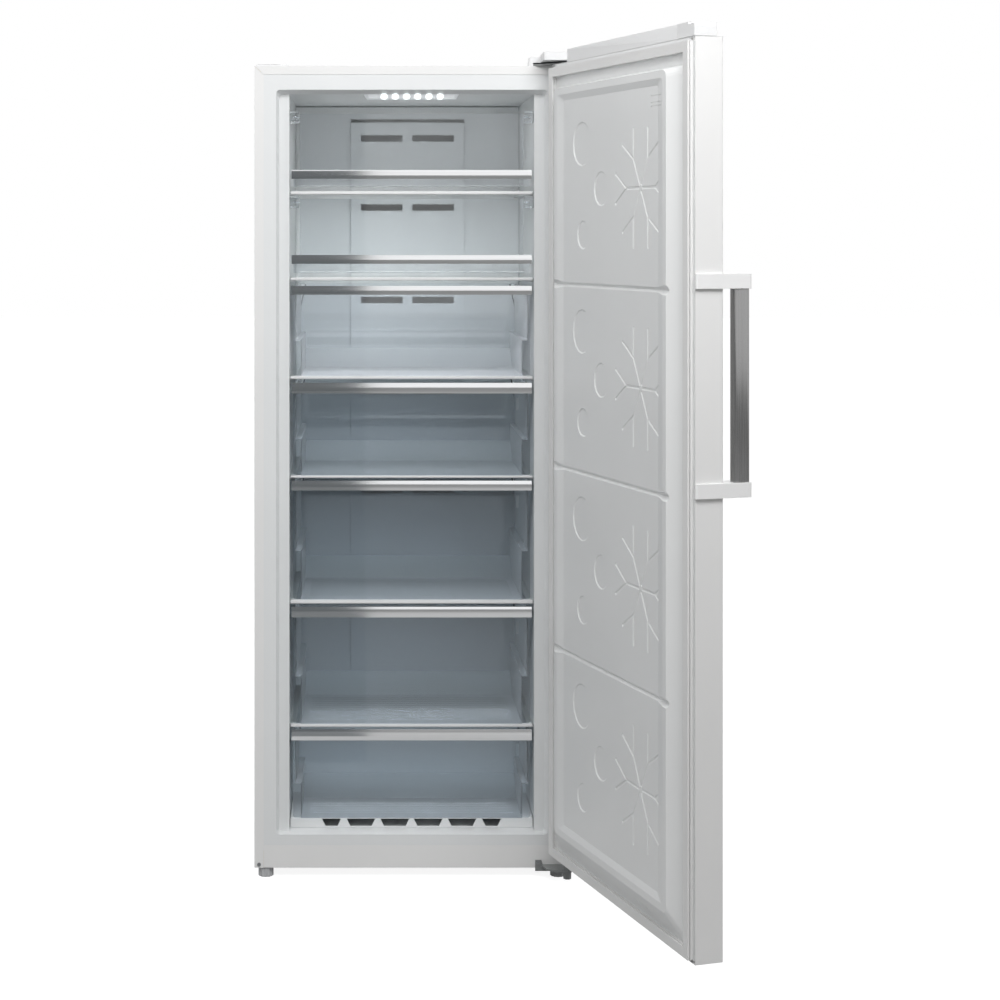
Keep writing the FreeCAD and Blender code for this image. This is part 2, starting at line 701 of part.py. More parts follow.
def evaporator():
    """Evaporator behind the cover: upright fins on a core, with the tube's bends at both ends."""
    fins, half, low, high = 8, 210.0, 640.0, 1010.0
    front, back, core_front, core_back = 478.0, 540.0, 500.0, 518.0
    pitch = 2 * half / fins
    outline = []
    for index in range(fins):
        x = -half + pitch * index
        outline += [(x, front), (x + pitch * 0.35, front), (x + pitch * 0.35, core_front),
                    (x + pitch, core_front)]
    for index in reversed(range(fins)):
        x = -half + pitch * index
        outline += [(x + pitch, core_back), (x + pitch * 0.35, core_back), (x + pitch * 0.35, back), (x, back)]
    pieces = [along_z(outline, low, high)]
    for x in (-half - 2, half):
        pieces.append(block(x, x + 2, front, CAVITY_BACK, low, high))
    for row in range(3):
        z = low + 35 + 148 * row
        pieces.append(along_x(many_sided(8, 5, (509, z)), -half - 18, half + 18))
    return joined(pieces)


def fan_motor():
    """Motor of the air fan on its bridge, with the shaft that carries the blades."""
    can = along_y(many_sided(16, 27, (0, FAN_Z)), 515, 545)
    bridge = block(-80, 80, 541, CAVITY_BACK, FAN_Z - 12, FAN_Z + 12)
    shaft = rod(SHAFT_RADIUS, (0, 484, FAN_Z), (0, 518, FAN_Z))
    return joined([can, bridge, shaft])


def fan_blade():
    """Five pitched blades on a hub that turns on the motor's shaft."""
    fan = [along_y(many_sided(12, 14, (0, FAN_Z)), 486, 508)]
    for step in range(5):
        blade = along_z([(-16, -0.9), (16, -0.9), (16, 0.9), (-16, 0.9)], 11, FAN_RADIUS)
        blade.rotate(Vector(0, 0, 0), Vector(0, 0, 1), 28)
        blade.translate(Vector(0, 497, FAN_Z))
        blade.rotate(Vector(0, 497, FAN_Z), Vector(0, 1, 0), 72 * step)
        fan.append(blade)
    return joined(fan).cut(rod(SHAFT_RADIUS + RUNNING_GAP, (0, 480, FAN_Z), (0, 512, FAN_Z)))


def air_return_cover():
    """Cover below the lowest drawer with six tapered openings for the returning air."""
    half, wall = CAVITY_HALF - 1.5, 3.0
    top = block(-half, half, RETURN_FRONT, 258, RETURN_TOP - wall, RETURN_TOP)
    face = block(-half, half, RETURN_FRONT, RETURN_FRONT + wall, CAVITY_FLOOR, RETURN_TOP)
    cover = joined([top, face])
    for centre, width in ((38.0, 65.0), (115.0, 64.0), (182.0, 43.0)):
        for side in (-1, 1):
            x, high, low = side * centre, width / 2, width / 2 - 8
            opening = [(x - low, CAVITY_FLOOR + 3), (x - high, RETURN_TOP - wall),
                       (x + high, RETURN_TOP - wall), (x + low, CAVITY_FLOOR + 3)]
            cover = cover.cut(along_y(opening, RETURN_FRONT - 1, RETURN_FRONT + wall + 1))
    return cover


def led_lens():
    """Frosted lens of the light strip under the ceiling, with sloping front, rear and ends."""
    top = placed(clipped(-107.6, 107.6, 20, 76, 8), in_plan(CAVITY_CEILING))
    bottom = placed(clipped(-101, 101, 25, 70, 6), in_plan(CAVITY_CEILING - 9.5))
    return tapered(bottom, top)


# ---------------------------------------------------------------- cooling machinery


def compressor():
    """Hermetic compressor: domed shell with its seam, foot plate, rubber mounts and relay box."""
    floor = CABINET_BASE + RAIL_HEIGHT
    x, y = COMPRESSOR_X, COMPRESSOR_Y
    base = floor + 12
    rings = [(52, 0), (71, 22), (72, 84), (63, 118), (42, 138)]
    levels = [placed(many_sided(14, radius, (x, y)), in_plan(base + height)) for radius, height in rings]
    shell = joined([tapered(low, high) for low, high in zip(levels, levels[1:])])
    seam = along_z(many_sided(14, 77, (x, y)), base + 76, base + 84)
    reach = COMPRESSOR_RAIL + 14
    pieces = [shell, seam, along_z(clipped(x - reach, x + reach, y - 60, y + 60, 10), floor + 9, floor + 13)]
    for side in (-1, 1):
        for depth in (-46, 46):
            mount = many_sided(8, 9, (x + side * COMPRESSOR_RAIL, y + depth))
            pieces.append(along_z(mount, floor, floor + 16))
    pieces.append(along_z(clipped(x + 60, x + 106, y - 30, y + 30, 4), floor + 50, floor + 118))
    return joined(pieces)


def condenser():
    """Finned condenser beside the compressor, between two end plates."""
    x0, x1, low, high = -330.0, 40.0, 30.0, CONDENSER_TOP
    front, back = CONDENSER_Y - 40, CONDENSER_Y + 40
    fins = 10
    pitch = (x1 - x0) / fins
    outline = []
    for index in range(fins):
        x = x0 + pitch * index
        outline += [(x, front), (x + pitch * 0.3, front), (x + pitch * 0.3, front + 34), (x + pitch, front + 34)]
    for index in reversed(range(fins)):
        x = x0 + pitch * index
        outline += [(x + pitch, back - 34), (x + pitch * 0.3, back - 34), (x + pitch * 0.3, back), (x, back)]
    pieces = [along_z(outline, low + 6, high)]
    for x in (x0 - 1.5, x1 - 1.5):
        pieces.append(block(x, x + 3, front - 4, back + 4, CABINET_BASE + BASE_SHEET, high + 6))
    return joined(pieces)


def refrigerant_pipes():
    """Copper pipe from the compressor to the condenser, with the drier on its way."""
    y, low, high, bend = CONDENSER_Y, 105.0, 190.0, 14.0
    points = [Vector(COMPRESSOR_X - 72, COMPRESSOR_Y, low), Vector(70, COMPRESSOR_Y, low), Vector(70, y, low),
              Vector(70, y, high), Vector(-140, y, high), Vector(-140, y, CONDENSER_TOP)]
    pipe = tube(points, bend, 4.0)
    drier = along_x(many_sided(12, 11, (y, high)), -100, -10)
    return joined([pipe, drier])


def tube(points, bend, radius):
    """A six-sided pipe along straight runs that starts along X, its turns cut once across."""
    path = [points[0]]
    for before, corner, after in zip(points, points[1:], points[2:]):
        path.append(corner - (corner - before).normalize() * bend)
        path.append(corner + (after - corner).normalize() * bend)
    path.append(points[-1])
    ring = placed(many_sided(6, radius, (path[0].y, path[0].z)), lambda y, z: Vector(path[0].x, y, z))
    mitred = 1
    sweep = Part.makePolygon(path)
    return sweep.makePipeShell([Part.makePolygon(ring + ring[:1])], True, False, mitred)


def drip_tray():
    """Tray on the compressor that takes the defrost water."""
    low, high, wall = TRAY_BOTTOM, TRAY_BOTTOM + 30, 2.0
    return tray_volume(0, low, high).cut(tray_volume(wall, low + wall, high + 0.5))


def tray_volume(inset, low, high):
    """The tray's flared form, drawn in by an inset."""
    x, y = COMPRESSOR_X, COMPRESSOR_Y
    half_x, half_y, flare = 84 - inset, 54 - inset, 8.0
    bottom = clipped(x - half_x, x + half_x, y - half_y, y + half_y, 12)
    half_x, half_y = half_x + flare, half_y + flare
    top = clipped(x - half_x, x + half_x, y - half_y, y + half_y, 14)
    return tapered(placed(bottom, in_plan(low)), placed(top, in_plan(high)))


def machine_cover():
    """Rear cover of the compressor's compartment with its air louvres."""
    half = CABINET_HALF - 4
    cover = block(-half, half, CABINET_DEPTH - 2, COVER_REAR, CABINET_BASE + 2, MACHINE_TOP)
    for row in range(7):
        low = 58 + row * 26
        for x in (-250, -10, 230):
            cover = cover.cut(block(x - 105, x + 105, CABINET_DEPTH - 3, CABINET_DEPTH + 1, low, low + 9))
    return cover.cut(gland_body(1.0))


def gland_body(reach):
    """The grommet's square neck in the rear cover."""
    return block(GLAND_X - GLAND_HALF, GLAND_X + GLAND_HALF, CABINET_DEPTH - 9, COVER_REAR + reach,
                 GLAND_Z - GLAND_HALF, GLAND_Z + GLAND_HALF)


def cord_gland():
    """Grommet in the rear cover where the mains lead goes in."""
    flange = GLAND_HALF + 3
    rim = block(GLAND_X - flange, GLAND_X + flange, COVER_REAR, CABINET_DEPTH, GLAND_Z - flange,
                GLAND_Z + flange)
    gland = joined([gland_body(0), rim])
    bore = many_sided(10, GLAND_BORE, (GLAND_X, GLAND_Z))
    return gland.cut(along_y(bore, CABINET_DEPTH - 10, CABINET_DEPTH + 1))


# ---------------------------------------------------------------- door, drawn closed and then swung


def door_skin():
    """Outer steel panel: front, both edges with their folded hems, and the bottom."""
    half, front, lip, hem = DOOR_HALF, DOOR_OUTER, DOOR_INNER, DOOR_INNER - HEM_DEPTH
    skin = slab(-half, half, front, lip, [4, 4, 0, 0], DOOR_BOTTOM, DOOR_TOP)
    inside = slab(-half + SHEET, half - SHEET, front + SHEET, lip + 1, [3, 3, 0, 0],
                  DOOR_BOTTOM + SHEET, DOOR_TOP + 1)
    pieces = [skin.cut(inside)]
    for side in (-1, 1):
        x0, x1 = sorted((side * half, side * (half - HEM_REACH)))
        pieces.append(block(x0, x1, hem - SHEET, hem, DOOR_BOTTOM, DOOR_TOP))
    shell = joined(pieces)
    return swung(shell.cut(bush_block(DOOR_BOTTOM - 1, DOOR_BOTTOM + 5)))


def rise(height):
    """Depth coordinate of a height above the door's inner plane."""
    return DOOR_INNER + height


def door_ring(inset_side, inset_top, inset_bottom, height, radius):
    """A rounded outline on the door's inner side at a height above its inner plane."""
    half = DOOR_HALF - inset_side
    outline = rounded(-half, half, DOOR_BOTTOM + inset_bottom, DOOR_TOP - inset_top, [radius] * 4, 4)
    return placed(outline, in_front(rise(height)))


def door_liner():
    """Vacuum-formed inner panel: raised rim, sunk field, cross grooves and sunk ornament."""
    base_half = DOOR_HALF - LINER_INSET
    base = block(-base_half, base_half, rise(-HEM_DEPTH), rise(0), DOOR_BOTTOM + LINER_INSET,
                 DOOR_TOP - LINER_INSET)
    rim = tapered(door_ring(FOOT_INSET, FOOT_INSET_TOP, FOOT_INSET, 0, 16),
                  door_ring(RIM_SIDE, RIM_TOP, RIM_BOTTOM, RIM_RISE, 14))
    side, top, bottom = RIM_SIDE + RIM_WIDTH, RIM_TOP + RIM_WIDTH, RIM_BOTTOM + RIM_WIDTH
    above = 0.2
    field = tapered(door_ring(side, top, bottom, RIM_RISE + above, 10),
                    door_ring(side + RIM_SLOPE, top + RIM_SLOPE_END, bottom + RIM_SLOPE_END,
                              PANEL_RISE, 8))
    sheet = joined([base, rim]).cut(field)
    for level in DOOR_LEVELS:
        sheet = sheet.cut(cross_groove(level))
    for middle in ORNAMENT_LEVELS:
        sheet = sheet.cut(disc(DOOR_HALF - 216, middle + 99, 48.0))
        sheet = sheet.cut(disc(DOOR_HALF - 317, middle + 2, 37.0))
        sheet = sheet.cut(disc(DOOR_HALF - 222, middle - 94, 31.0))
        for arm in snowflake(DOOR_HALF - 511, middle):
            sheet = sheet.cut(arm)
    for low, high in door_fields():
        sheet = sheet.cut(foam_pad(low, high))
    for slit in door_slits():
        sheet = sheet.cut(slit)
    return swung(sheet.removeSplitter())


def cross_groove(level):
    """A round-ended V-shaped groove across rim and field at one height."""
    centre = DOOR_HALF - 72.0
    rings = []
    for half, height in ((10.4, RIM_RISE + 1), (1.0, GROOVE_FLOOR)):
        outline = rounded(-centre - half, centre + half, level - half, level + half, [half * 0.98] * 4)
        rings.append(placed(outline, in_front(rise(height))))
    return tapered(*rings)


def door_slits():
    """Five drain slits low on the panel's rim and three short lines high on its field."""
    slits = []
    for step in range(5):
        x = SLIT_X - 14.0 * step
        slits.append(block(x - 1.5, x + 1.5, rise(0), rise(RIM_RISE), SLIT_Z, SLIT_Z + 5))
    for z in LINE_LEVELS:
        slits.append(block(LINE_X - 25, LINE_X + 25, rise(PANEL_RISE - 1), rise(RIM_RISE), z, z + 2.4))
    return slits


def door_fields():
    """Lower and upper edge of the four fields between the grooves."""
    edges = [DOOR_BOTTOM + RIM_BOTTOM - 8] + DOOR_LEVELS + [DOOR_TOP - RIM_TOP + 8]
    return list(zip(edges, edges[1:]))


def foam_pad(low, high):
    """Insulation behind one field of the door's liner."""
    reach, margin, skin = DOOR_HALF - RIM_SIDE - RIM_WIDTH - RIM_SLOPE - 4, 24.0, 3.0
    return block(-reach, reach, rise(-HEM_DEPTH), rise(PANEL_RISE - skin), low + margin, high - margin)


def disc(x, z, radius):
    """The form of a shallow round dish in the door's field."""
    slope = 3.0
    high, low = PANEL_RISE + 0.2, PANEL_RISE - ORNAMENT_DEPTH
    return tapered(placed(many_sided(16, radius - slope, (x, z)), in_front(rise(low))),
                   placed(many_sided(16, radius, (x, z)), in_front(rise(high))))


def forked_arm(half):
    """Outline of a snowflake's arm along +b: a stem that forks into two prongs; half is half its width."""
    start, fork, prong = 9.0, 67.0, 60.0
    along = (0.5, math.sqrt(0.75))
    across = (along[1], -along[0])
    tip = (along[0] * (prong + half), fork + along[1] * (prong + half))
    side = [(half, start - half), (half, fork - math.tan(math.radians(15)) * half),
            (tip[0] + across[0] * half, tip[1] + across[1] * half),
            (tip[0] - across[0] * half, tip[1] - across[1] * half)]
    crotch = [(0.0, fork + 2 * half)]
    return side + crotch + [(-a, b) for a, b in reversed(side)]


def snowflake(x, z):
    """The forms of a snowflake's six forked arms, sunk in the door's field."""
    high, low = PANEL_RISE + 0.2, PANEL_RISE - ORNAMENT_DEPTH
    wide, narrow = 3.6, 1.4
    arms = []
    for step in range(6):
        arm = tapered(placed(forked_arm(narrow), in_front(rise(low))),
                      placed(forked_arm(wide), in_front(rise(high))))
        arm.rotate(Vector(0, 0, 0), Vector(0, 1, 0), 30 + 60 * step)
        arm.translate(Vector(x, 0, z))
        arms.append(arm)
    return arms


def door_foam():
    """Insulation inside the door, with its raised pads behind the liner's fields."""
    half, clip = DOOR_HALF - SHEET, 3.0
    front, back = DOOR_OUTER + SHEET, rise(-HEM_DEPTH) - SHEET
    body = along_z([(-half + clip, front), (half - clip, front), (half, front + clip), (half, back),
                    (-half, back), (-half, front + clip)], DOOR_BOTTOM + SHEET, DOOR_TOP)
    hem_half = DOOR_HALF - HEM_REACH
    body = joined([body, block(-hem_half, hem_half, rise(-HEM_DEPTH) - SHEET, rise(-HEM_DEPTH),
                               DOOR_BOTTOM + LINER_INSET, DOOR_TOP - LINER_INSET)])
    pads = [foam_pad(low, high) for low, high in door_fields()]
    body = joined([body] + pads)
    for z0, z1 in bush_heights():
        body = body.cut(bush_block(z0, z1))
    return swung(body)


def bush_heights():
    """Lower and upper end of the door's two hinge bushes."""
    return [(COLLAR_TOP + 0.3, DOOR_BOTTOM + BUSH_DEPTH), (DOOR_TOP - BUSH_DEPTH, DOOR_TOP + 1.2)]


def bush_block(z0, z1):
    """The square body of a hinge bush."""
    return block(PIN_X - BUSH_HALF, PIN_X + BUSH_HALF, PIN_Y - BUSH_HALF, PIN_Y + BUSH_HALF, z0, z1)


def door_bushes():
    """Plastic bushes in the door's corners that turn on the hinge pins."""
    bore = PIN_RADIUS + RUNNING_GAP
    bushes = []
    for z0, z1 in bush_heights():
        bush = bush_block(z0, z1)
        bushes.append(bush.cut(rod(bore, (PIN_X, PIN_Y, z0 - 1), (PIN_X, PIN_Y, z1 + 1))))
    return swung(Part.makeCompound(bushes))


def door_gasket():
    """Magnetic seal, mitred at the corners: a base bead, a fold and the magnet's head."""
    layers = [(9.0, 27.0, 0.0, 2.0), (8.5, 27.5, 2.0, 6.0), (12.0, 25.0, 6.0, 8.5), (8.0, 28.0, 8.5, 12.2)]
    rings = []
    for outer, inner, low, high in layers:
        frame = block(-DOOR_HALF + outer, DOOR_HALF - outer, rise(low), rise(high), DOOR_BOTTOM + outer,
                      DOOR_TOP - outer)
        hole = block(-DOOR_HALF + inner, DOOR_HALF - inner, rise(low) - 1, rise(high) + 1,
                     DOOR_BOTTOM + inner, DOOR_TOP - inner)
        rings.append(frame.cut(hole))
    return swung(joined(rings))


def door_top_cap():
    """Moulded cap along the door's top, with a thin plate that reaches over the hinge corner."""
    hinge_end = DOOR_HALF - CAP_START
    free_end = DOOR_HALF - CAP_END
    front, back = DOOR_OUTER + 13, DOOR_INNER
    bar = along_x([(front, DOOR_TOP), (front, CAP_TOP - 6), (front + 6, CAP_TOP), (back, CAP_TOP),
                   (back, DOOR_TOP)], free_end, hinge_end)
    plate = block(-DOOR_HALF, DOOR_HALF, DOOR_OUTER, DOOR_INNER, DOOR_TOP, DOOR_TOP + 1.2)
    cap = joined([bar, plate])
    return swung(cap.cut(bush_block(DOOR_TOP - 1, DOOR_TOP + 3)))


def door_top_cap_end():
    """Corner piece of the cap at the free edge, its end scooped out."""
    free_end = DOOR_HALF - CAP_END
    front, back = DOOR_OUTER + 13, DOOR_INNER + 1.5
    low = DOOR_TOP + 1.2
    body = slab(-DOOR_HALF - 0.5, free_end, front, back, [2, 0, 0, 2], low, CAP_TOP)
    scoop = rod(46, (-DOOR_HALF - 34, (front + back) / 2 + 2, CAP_TOP + 36),
                (-DOOR_HALF + 26, (front + back) / 2 + 2, CAP_TOP + 36))
    return swung(body.cut(scoop))


# ---------------------------------------------------------------- handle


def handle_block(z):
    """Handle end: a plate wrapped round the door's edge and an arm that carries the bar."""
    edge, outer, far = -DOOR_HALF, DOOR_OUTER, DOOR_OUTER - HANDLE_REACH
    wide = 36.0
    plate = slab(edge - 6.5, edge, outer - 4, DOOR_INNER + 1, [0, 0, 0, 3], z, z + HANDLE_BLOCK)
    arm = slab(edge - 6.5, edge + wide, far, outer, [5, 8, 0, 0], z, z + HANDLE_BLOCK)
    return joined([plate, arm])


def handle_blocks():
    """The lower and the upper handle end."""
    return swung(Part.makeCompound([handle_block(HANDLE_LOW), handle_block(HANDLE_HIGH - HANDLE_BLOCK)]))


def handle_bar():
    """Upright grip bar with a bowed outer face and a flat inner one."""
    near, far = DOOR_OUTER - 22, DOOR_OUTER - 55
    left, right = -DOOR_HALF - 3, -DOOR_HALF + 21
    z0, z1 = HANDLE_LOW + HANDLE_BLOCK, HANDLE_HIGH - HANDLE_BLOCK
    at = in_plan(z0)
    edges = [Part.makeLine(at(left + 2, near), at(right - 5, near)),
             Part.Arc(at(right - 5, near), at(right - 1, (near + far) / 2 + 4), at(right - 7, far + 5)).toShape(),
             Part.Arc(at(right - 7, far + 5), at((left + right) / 2 - 3, far), at(left, far + 3)).toShape(),
             Part.Arc(at(left, far + 3), at(left - 0.8, (near + far) / 2), at(left + 2, near)).toShape()]
    return swung(Part.Face(Part.Wire(edges)).extrude(Vector(0, 0, z1 - z0)))


# ---------------------------------------------------------------- all pieces


def pieces():
    """Every piece of the freezer by name."""
    parts = {
        "cabinet_wrapper": cabinet_wrapper(), "back_panel": back_panel(), "base_plate": base_plate(),
        "kick_plate": kick_plate(), "inner_liner": inner_liner(), "cabinet_foam": cabinet_foam(),
        "top_hinge_bracket": top_hinge_bracket(), "top_hinge_cover": top_hinge_cover(),
        "hinge_blank_cap": hinge_blank_cap(), "bottom_hinge_bracket": bottom_hinge_bracket(),
        "bottom_hinge_pin": bottom_hinge_pin(), "cabinet_screws": cabinet_screws(),
        "foot_left": foot(-FOOT_X), "foot_right": foot(FOOT_X),
        "roller_left": roller(-ROLLER_X), "roller_right": roller(ROLLER_X),
        "shelf_trims": shelf_trims(), "flap_brackets": flap_brackets(),
        "evaporator_cover": evaporator_cover(), "evaporator": evaporator(), "fan_motor": fan_motor(),
        "fan_blade": fan_blade(), "air_return_cover": air_return_cover(), "led_lens": led_lens(),
        "compressor": compressor(), "condenser": condenser(), "refrigerant_pipes": refrigerant_pipes(),
        "drip_tray": drip_tray(), "machine_cover": machine_cover(), "cord_gland": cord_gland(),
        "door_skin": door_skin(), "door_liner": door_liner(), "door_foam": door_foam(),
        "door_bushes": door_bushes(), "door_gasket": door_gasket(), "door_top_cap": door_top_cap(),
        "door_top_cap_end": door_top_cap_end(), "handle_blocks": handle_blocks(), "handle_bar": handle_bar(),
    }
    for number, (low, high) in enumerate(SHELF_TRIMS, 1):
        parts["glass_shelf_%d" % number] = glass_shelf(low, high)
    for number, (pivot, top, strip_low, strip_high, bottom) in enumerate(FLAPS, 1):
        parts["flap_%d_panel" % number] = flap_panel(pivot, top, strip_low, strip_high, bottom)
        parts["flap_%d_strip" % number] = flap_strip(strip_low, strip_high)
    for number, (low, strip_low, strip_high) in enumerate(DRAWERS, 1):
        lowest = number == len(DRAWERS)
        floor_rear = LOW_DRAWER_FLOOR_REAR if lowest else DRAWER_FLOOR_REAR
        top_rear = LOW_DRAWER_TOP_REAR if lowest else DRAWER_TOP_REAR
        parts["drawer_%d_bin" % number] = drawer_bin(low, strip_low, strip_high, floor_rear, top_rear,
                                                     number >= 3)
        parts["drawer_%d_strip" % number] = drawer_strip(strip_low, strip_high)
    return parts


os.makedirs("parts", exist_ok=True)
for name, shape in pieces().items():
    solids = shape.Solids
    print("%-22s %2d solid(s) %12.1f mm3 %s" % (name, len(solids), shape.Volume, shape.isValid()))
    shape.exportStep("parts/%s.step" % name)
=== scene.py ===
import bpy
import math
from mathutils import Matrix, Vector


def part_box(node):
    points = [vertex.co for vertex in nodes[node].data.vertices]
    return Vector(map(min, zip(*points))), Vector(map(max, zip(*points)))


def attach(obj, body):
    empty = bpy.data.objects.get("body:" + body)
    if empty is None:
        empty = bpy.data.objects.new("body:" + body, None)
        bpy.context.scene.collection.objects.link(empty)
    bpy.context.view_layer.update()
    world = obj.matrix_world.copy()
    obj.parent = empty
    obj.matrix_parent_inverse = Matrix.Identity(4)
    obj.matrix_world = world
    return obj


# An upright freezer with its door standing open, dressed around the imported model. Metres, Z up.

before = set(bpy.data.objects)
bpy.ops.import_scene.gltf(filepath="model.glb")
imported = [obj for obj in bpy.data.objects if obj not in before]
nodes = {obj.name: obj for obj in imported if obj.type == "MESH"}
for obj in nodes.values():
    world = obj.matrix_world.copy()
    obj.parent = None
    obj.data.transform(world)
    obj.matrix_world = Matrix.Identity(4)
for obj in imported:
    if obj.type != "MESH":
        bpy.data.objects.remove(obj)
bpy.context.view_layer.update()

# ---------------------------------------------------------------- casing
# The cabinet's shell is one folded sheet of steel, coated white before it is bent. The strip below
# the cavity is a second sheet of the same stock. Coated sheet shows a very fine orange peel.


def moulded_grain():
    """Group for coated and moulded skins: slow changes of tone and gloss, and a fine relief."""
    tree = bpy.data.node_groups.new("skin grain", "ShaderNodeTree")
    for name, kind in (("Colour", "NodeSocketColor"), ("Shade", "NodeSocketFloat"),
                       ("Roughness", "NodeSocketFloat"), ("Spread", "NodeSocketFloat"),
                       ("Grain size", "NodeSocketFloat"), ("Relief", "NodeSocketFloat")):
        tree.interface.new_socket(name=name, in_out="INPUT", socket_type=kind)
    for name, kind in (("Colour", "NodeSocketColor"), ("Roughness", "NodeSocketFloat"),
                       ("Normal", "NodeSocketVector")):
        tree.interface.new_socket(name=name, in_out="OUTPUT", socket_type=kind)
    add, link = tree.nodes.new, tree.links.new
    start, end = add("NodeGroupInput"), add("NodeGroupOutput")
    place = add("ShaderNodeTexCoord")
    broad = add("ShaderNodeTexNoise")
    broad.inputs["Scale"].default_value = 3.5
    broad.inputs["Detail"].default_value = 3.0
    link(place.outputs["Object"], broad.inputs["Vector"])
    fine = add("ShaderNodeTexNoise")
    fine.inputs["Detail"].default_value = 2.0
    size = add("ShaderNodeMath")
    size.operation = "DIVIDE"
    size.inputs[0].default_value = 1.0
    link(start.outputs["Grain size"], size.inputs[1])
    link(size.outputs[0], fine.inputs["Scale"])
    link(place.outputs["Object"], fine.inputs["Vector"])
    tone = add("ShaderNodeMapRange")
    tone.inputs["From Min"].default_value = 0.3
    tone.inputs["From Max"].default_value = 0.7
    tone.inputs["To Max"].default_value = 1.0
    darkest = add("ShaderNodeMath")
    darkest.operation = "SUBTRACT"
    darkest.inputs[0].default_value = 1.0
    link(start.outputs["Shade"], darkest.inputs[1])
    link(darkest.outputs[0], tone.inputs["To Min"])
    link(broad.outputs["Fac"], tone.inputs["Value"])
    tint = add("ShaderNodeVectorMath")
    tint.operation = "SCALE"
    link(start.outputs["Colour"], tint.inputs[0])
    link(tone.outputs["Result"], tint.inputs["Scale"])
    link(tint.outputs["Vector"], end.inputs["Colour"])
    gloss = add("ShaderNodeMath")
    gloss.operation = "MULTIPLY_ADD"
    link(broad.outputs["Fac"], gloss.inputs[0])
    link(start.outputs["Spread"], gloss.inputs[1])
    link(start.outputs["Roughness"], gloss.inputs[2])
    link(gloss.outputs[0], end.inputs["Roughness"])
    bump = add("ShaderNodeBump")
    bump.inputs["Distance"].default_value = 1.0
    height = add("ShaderNodeMath")
    height.operation = "MULTIPLY"
    link(fine.outputs["Fac"], height.inputs[0])
    link(start.outputs["Relief"], height.inputs[1])
    link(height.outputs[0], bump.inputs["Height"])
    link(bump.outputs["Normal"], end.inputs["Normal"])
    return tree


skin_grain = moulded_grain()


def grained(name, colour, roughness, shade=0.04, spread=0.06, grain=0.0015, relief=0.00001):
    """A coated or moulded finish; returns the material and its Principled shader."""
    material = bpy.data.materials.new(name)
    material.use_nodes = True
    tree = material.node_tree
    shader = tree.nodes["Principled BSDF"]
    skin = tree.nodes.new("ShaderNodeGroup")
    skin.node_tree = skin_grain
    skin.inputs["Colour"].default_value = (*colour, 1.0)
    for socket, value in (("Shade", shade), ("Roughness", roughness - spread / 2), ("Spread", spread),
                          ("Grain size", grain), ("Relief", relief)):
        skin.inputs[socket].default_value = value
    tree.links.new(skin.outputs["Colour"], shader.inputs["Base Color"])
    tree.links.new(skin.outputs["Roughness"], shader.inputs["Roughness"])
    tree.links.new(skin.outputs["Normal"], shader.inputs["Normal"])
    return material, shader


def dressed(material, *names):
    """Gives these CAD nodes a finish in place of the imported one."""
    for name in names:
        for slot in nodes[name].material_slots:
            slot.material = material


def eased(width, *names):
    """Rounds the sharp edges of CAD nodes as folding, trimming or moulding does."""
    for name in names:
        piece = nodes[name]
        weld = piece.modifiers.new("weld", "WELD")
        weld.merge_threshold = 0.00001
        bevel = piece.modifiers.new("eased edges", "BEVEL")
        bevel.width = width
        bevel.segments = 2
        bevel.limit_method = "ANGLE"
        bevel.angle_limit = math.radians(35)
        bevel.harden_normals = True


white_coat, shader = grained("white coated steel", (0.845, 0.845, 0.84), 0.32, 0.03, 0.06, 0.0022, 0.000012)
shader.inputs["Coat Weight"].default_value = 0.25
shader.inputs["Coat Roughness"].default_value = 0.12
dressed(white_coat, "cabinet_wrapper", "kick_plate")
eased(0.0009, "kick_plate")

# ---------------------------------------------------------------- back, floor and machine cover
# Galvanised sheet, left bare: the rear panel, the floor with its rails, and the louvred cover. The
# zinc has crystallised in patches a centimetre or two across.


def zinc_flowers():
    """Group for galvanised sheet: patches of slightly different grey and gloss."""
    tree = bpy.data.node_groups.new("zinc flowers", "ShaderNodeTree")
    tree.interface.new_socket(name="Patch size", in_out="INPUT", socket_type="NodeSocketFloat")
    tree.interface.new_socket(name="Colour", in_out="OUTPUT", socket_type="NodeSocketColor")
    tree.interface.new_socket(name="Roughness", in_out="OUTPUT", socket_type="NodeSocketFloat")
    add, link = tree.nodes.new, tree.links.new
    start, end = add("NodeGroupInput"), add("NodeGroupOutput")
    place = add("ShaderNodeTexCoord")
    size = add("ShaderNodeMath")
    size.operation = "DIVIDE"
    size.inputs[0].default_value = 1.0
    link(start.outputs["Patch size"], size.inputs[1])
    cells = add("ShaderNodeTexVoronoi")
    link(place.outputs["Object"], cells.inputs["Vector"])
    link(size.outputs[0], cells.inputs["Scale"])
    grey = add("ShaderNodeSeparateColor")
    link(cells.outputs["Color"], grey.inputs["Color"])
    ramp = add("ShaderNodeValToRGB")
    ramp.color_ramp.elements[0].color = (0.40, 0.41, 0.42, 1.0)
    ramp.color_ramp.elements[1].color = (0.56, 0.57, 0.585, 1.0)
    link(grey.outputs["Red"], ramp.inputs["Fac"])
    link(ramp.outputs["Color"], end.inputs["Colour"])
    gloss = add("ShaderNodeMapRange")
    gloss.inputs["To Min"].default_value = 0.38
    gloss.inputs["To Max"].default_value = 0.58
    link(grey.outputs["Green"], gloss.inputs["Value"])
    link(gloss.outputs["Result"], end.inputs["Roughness"])
    return tree


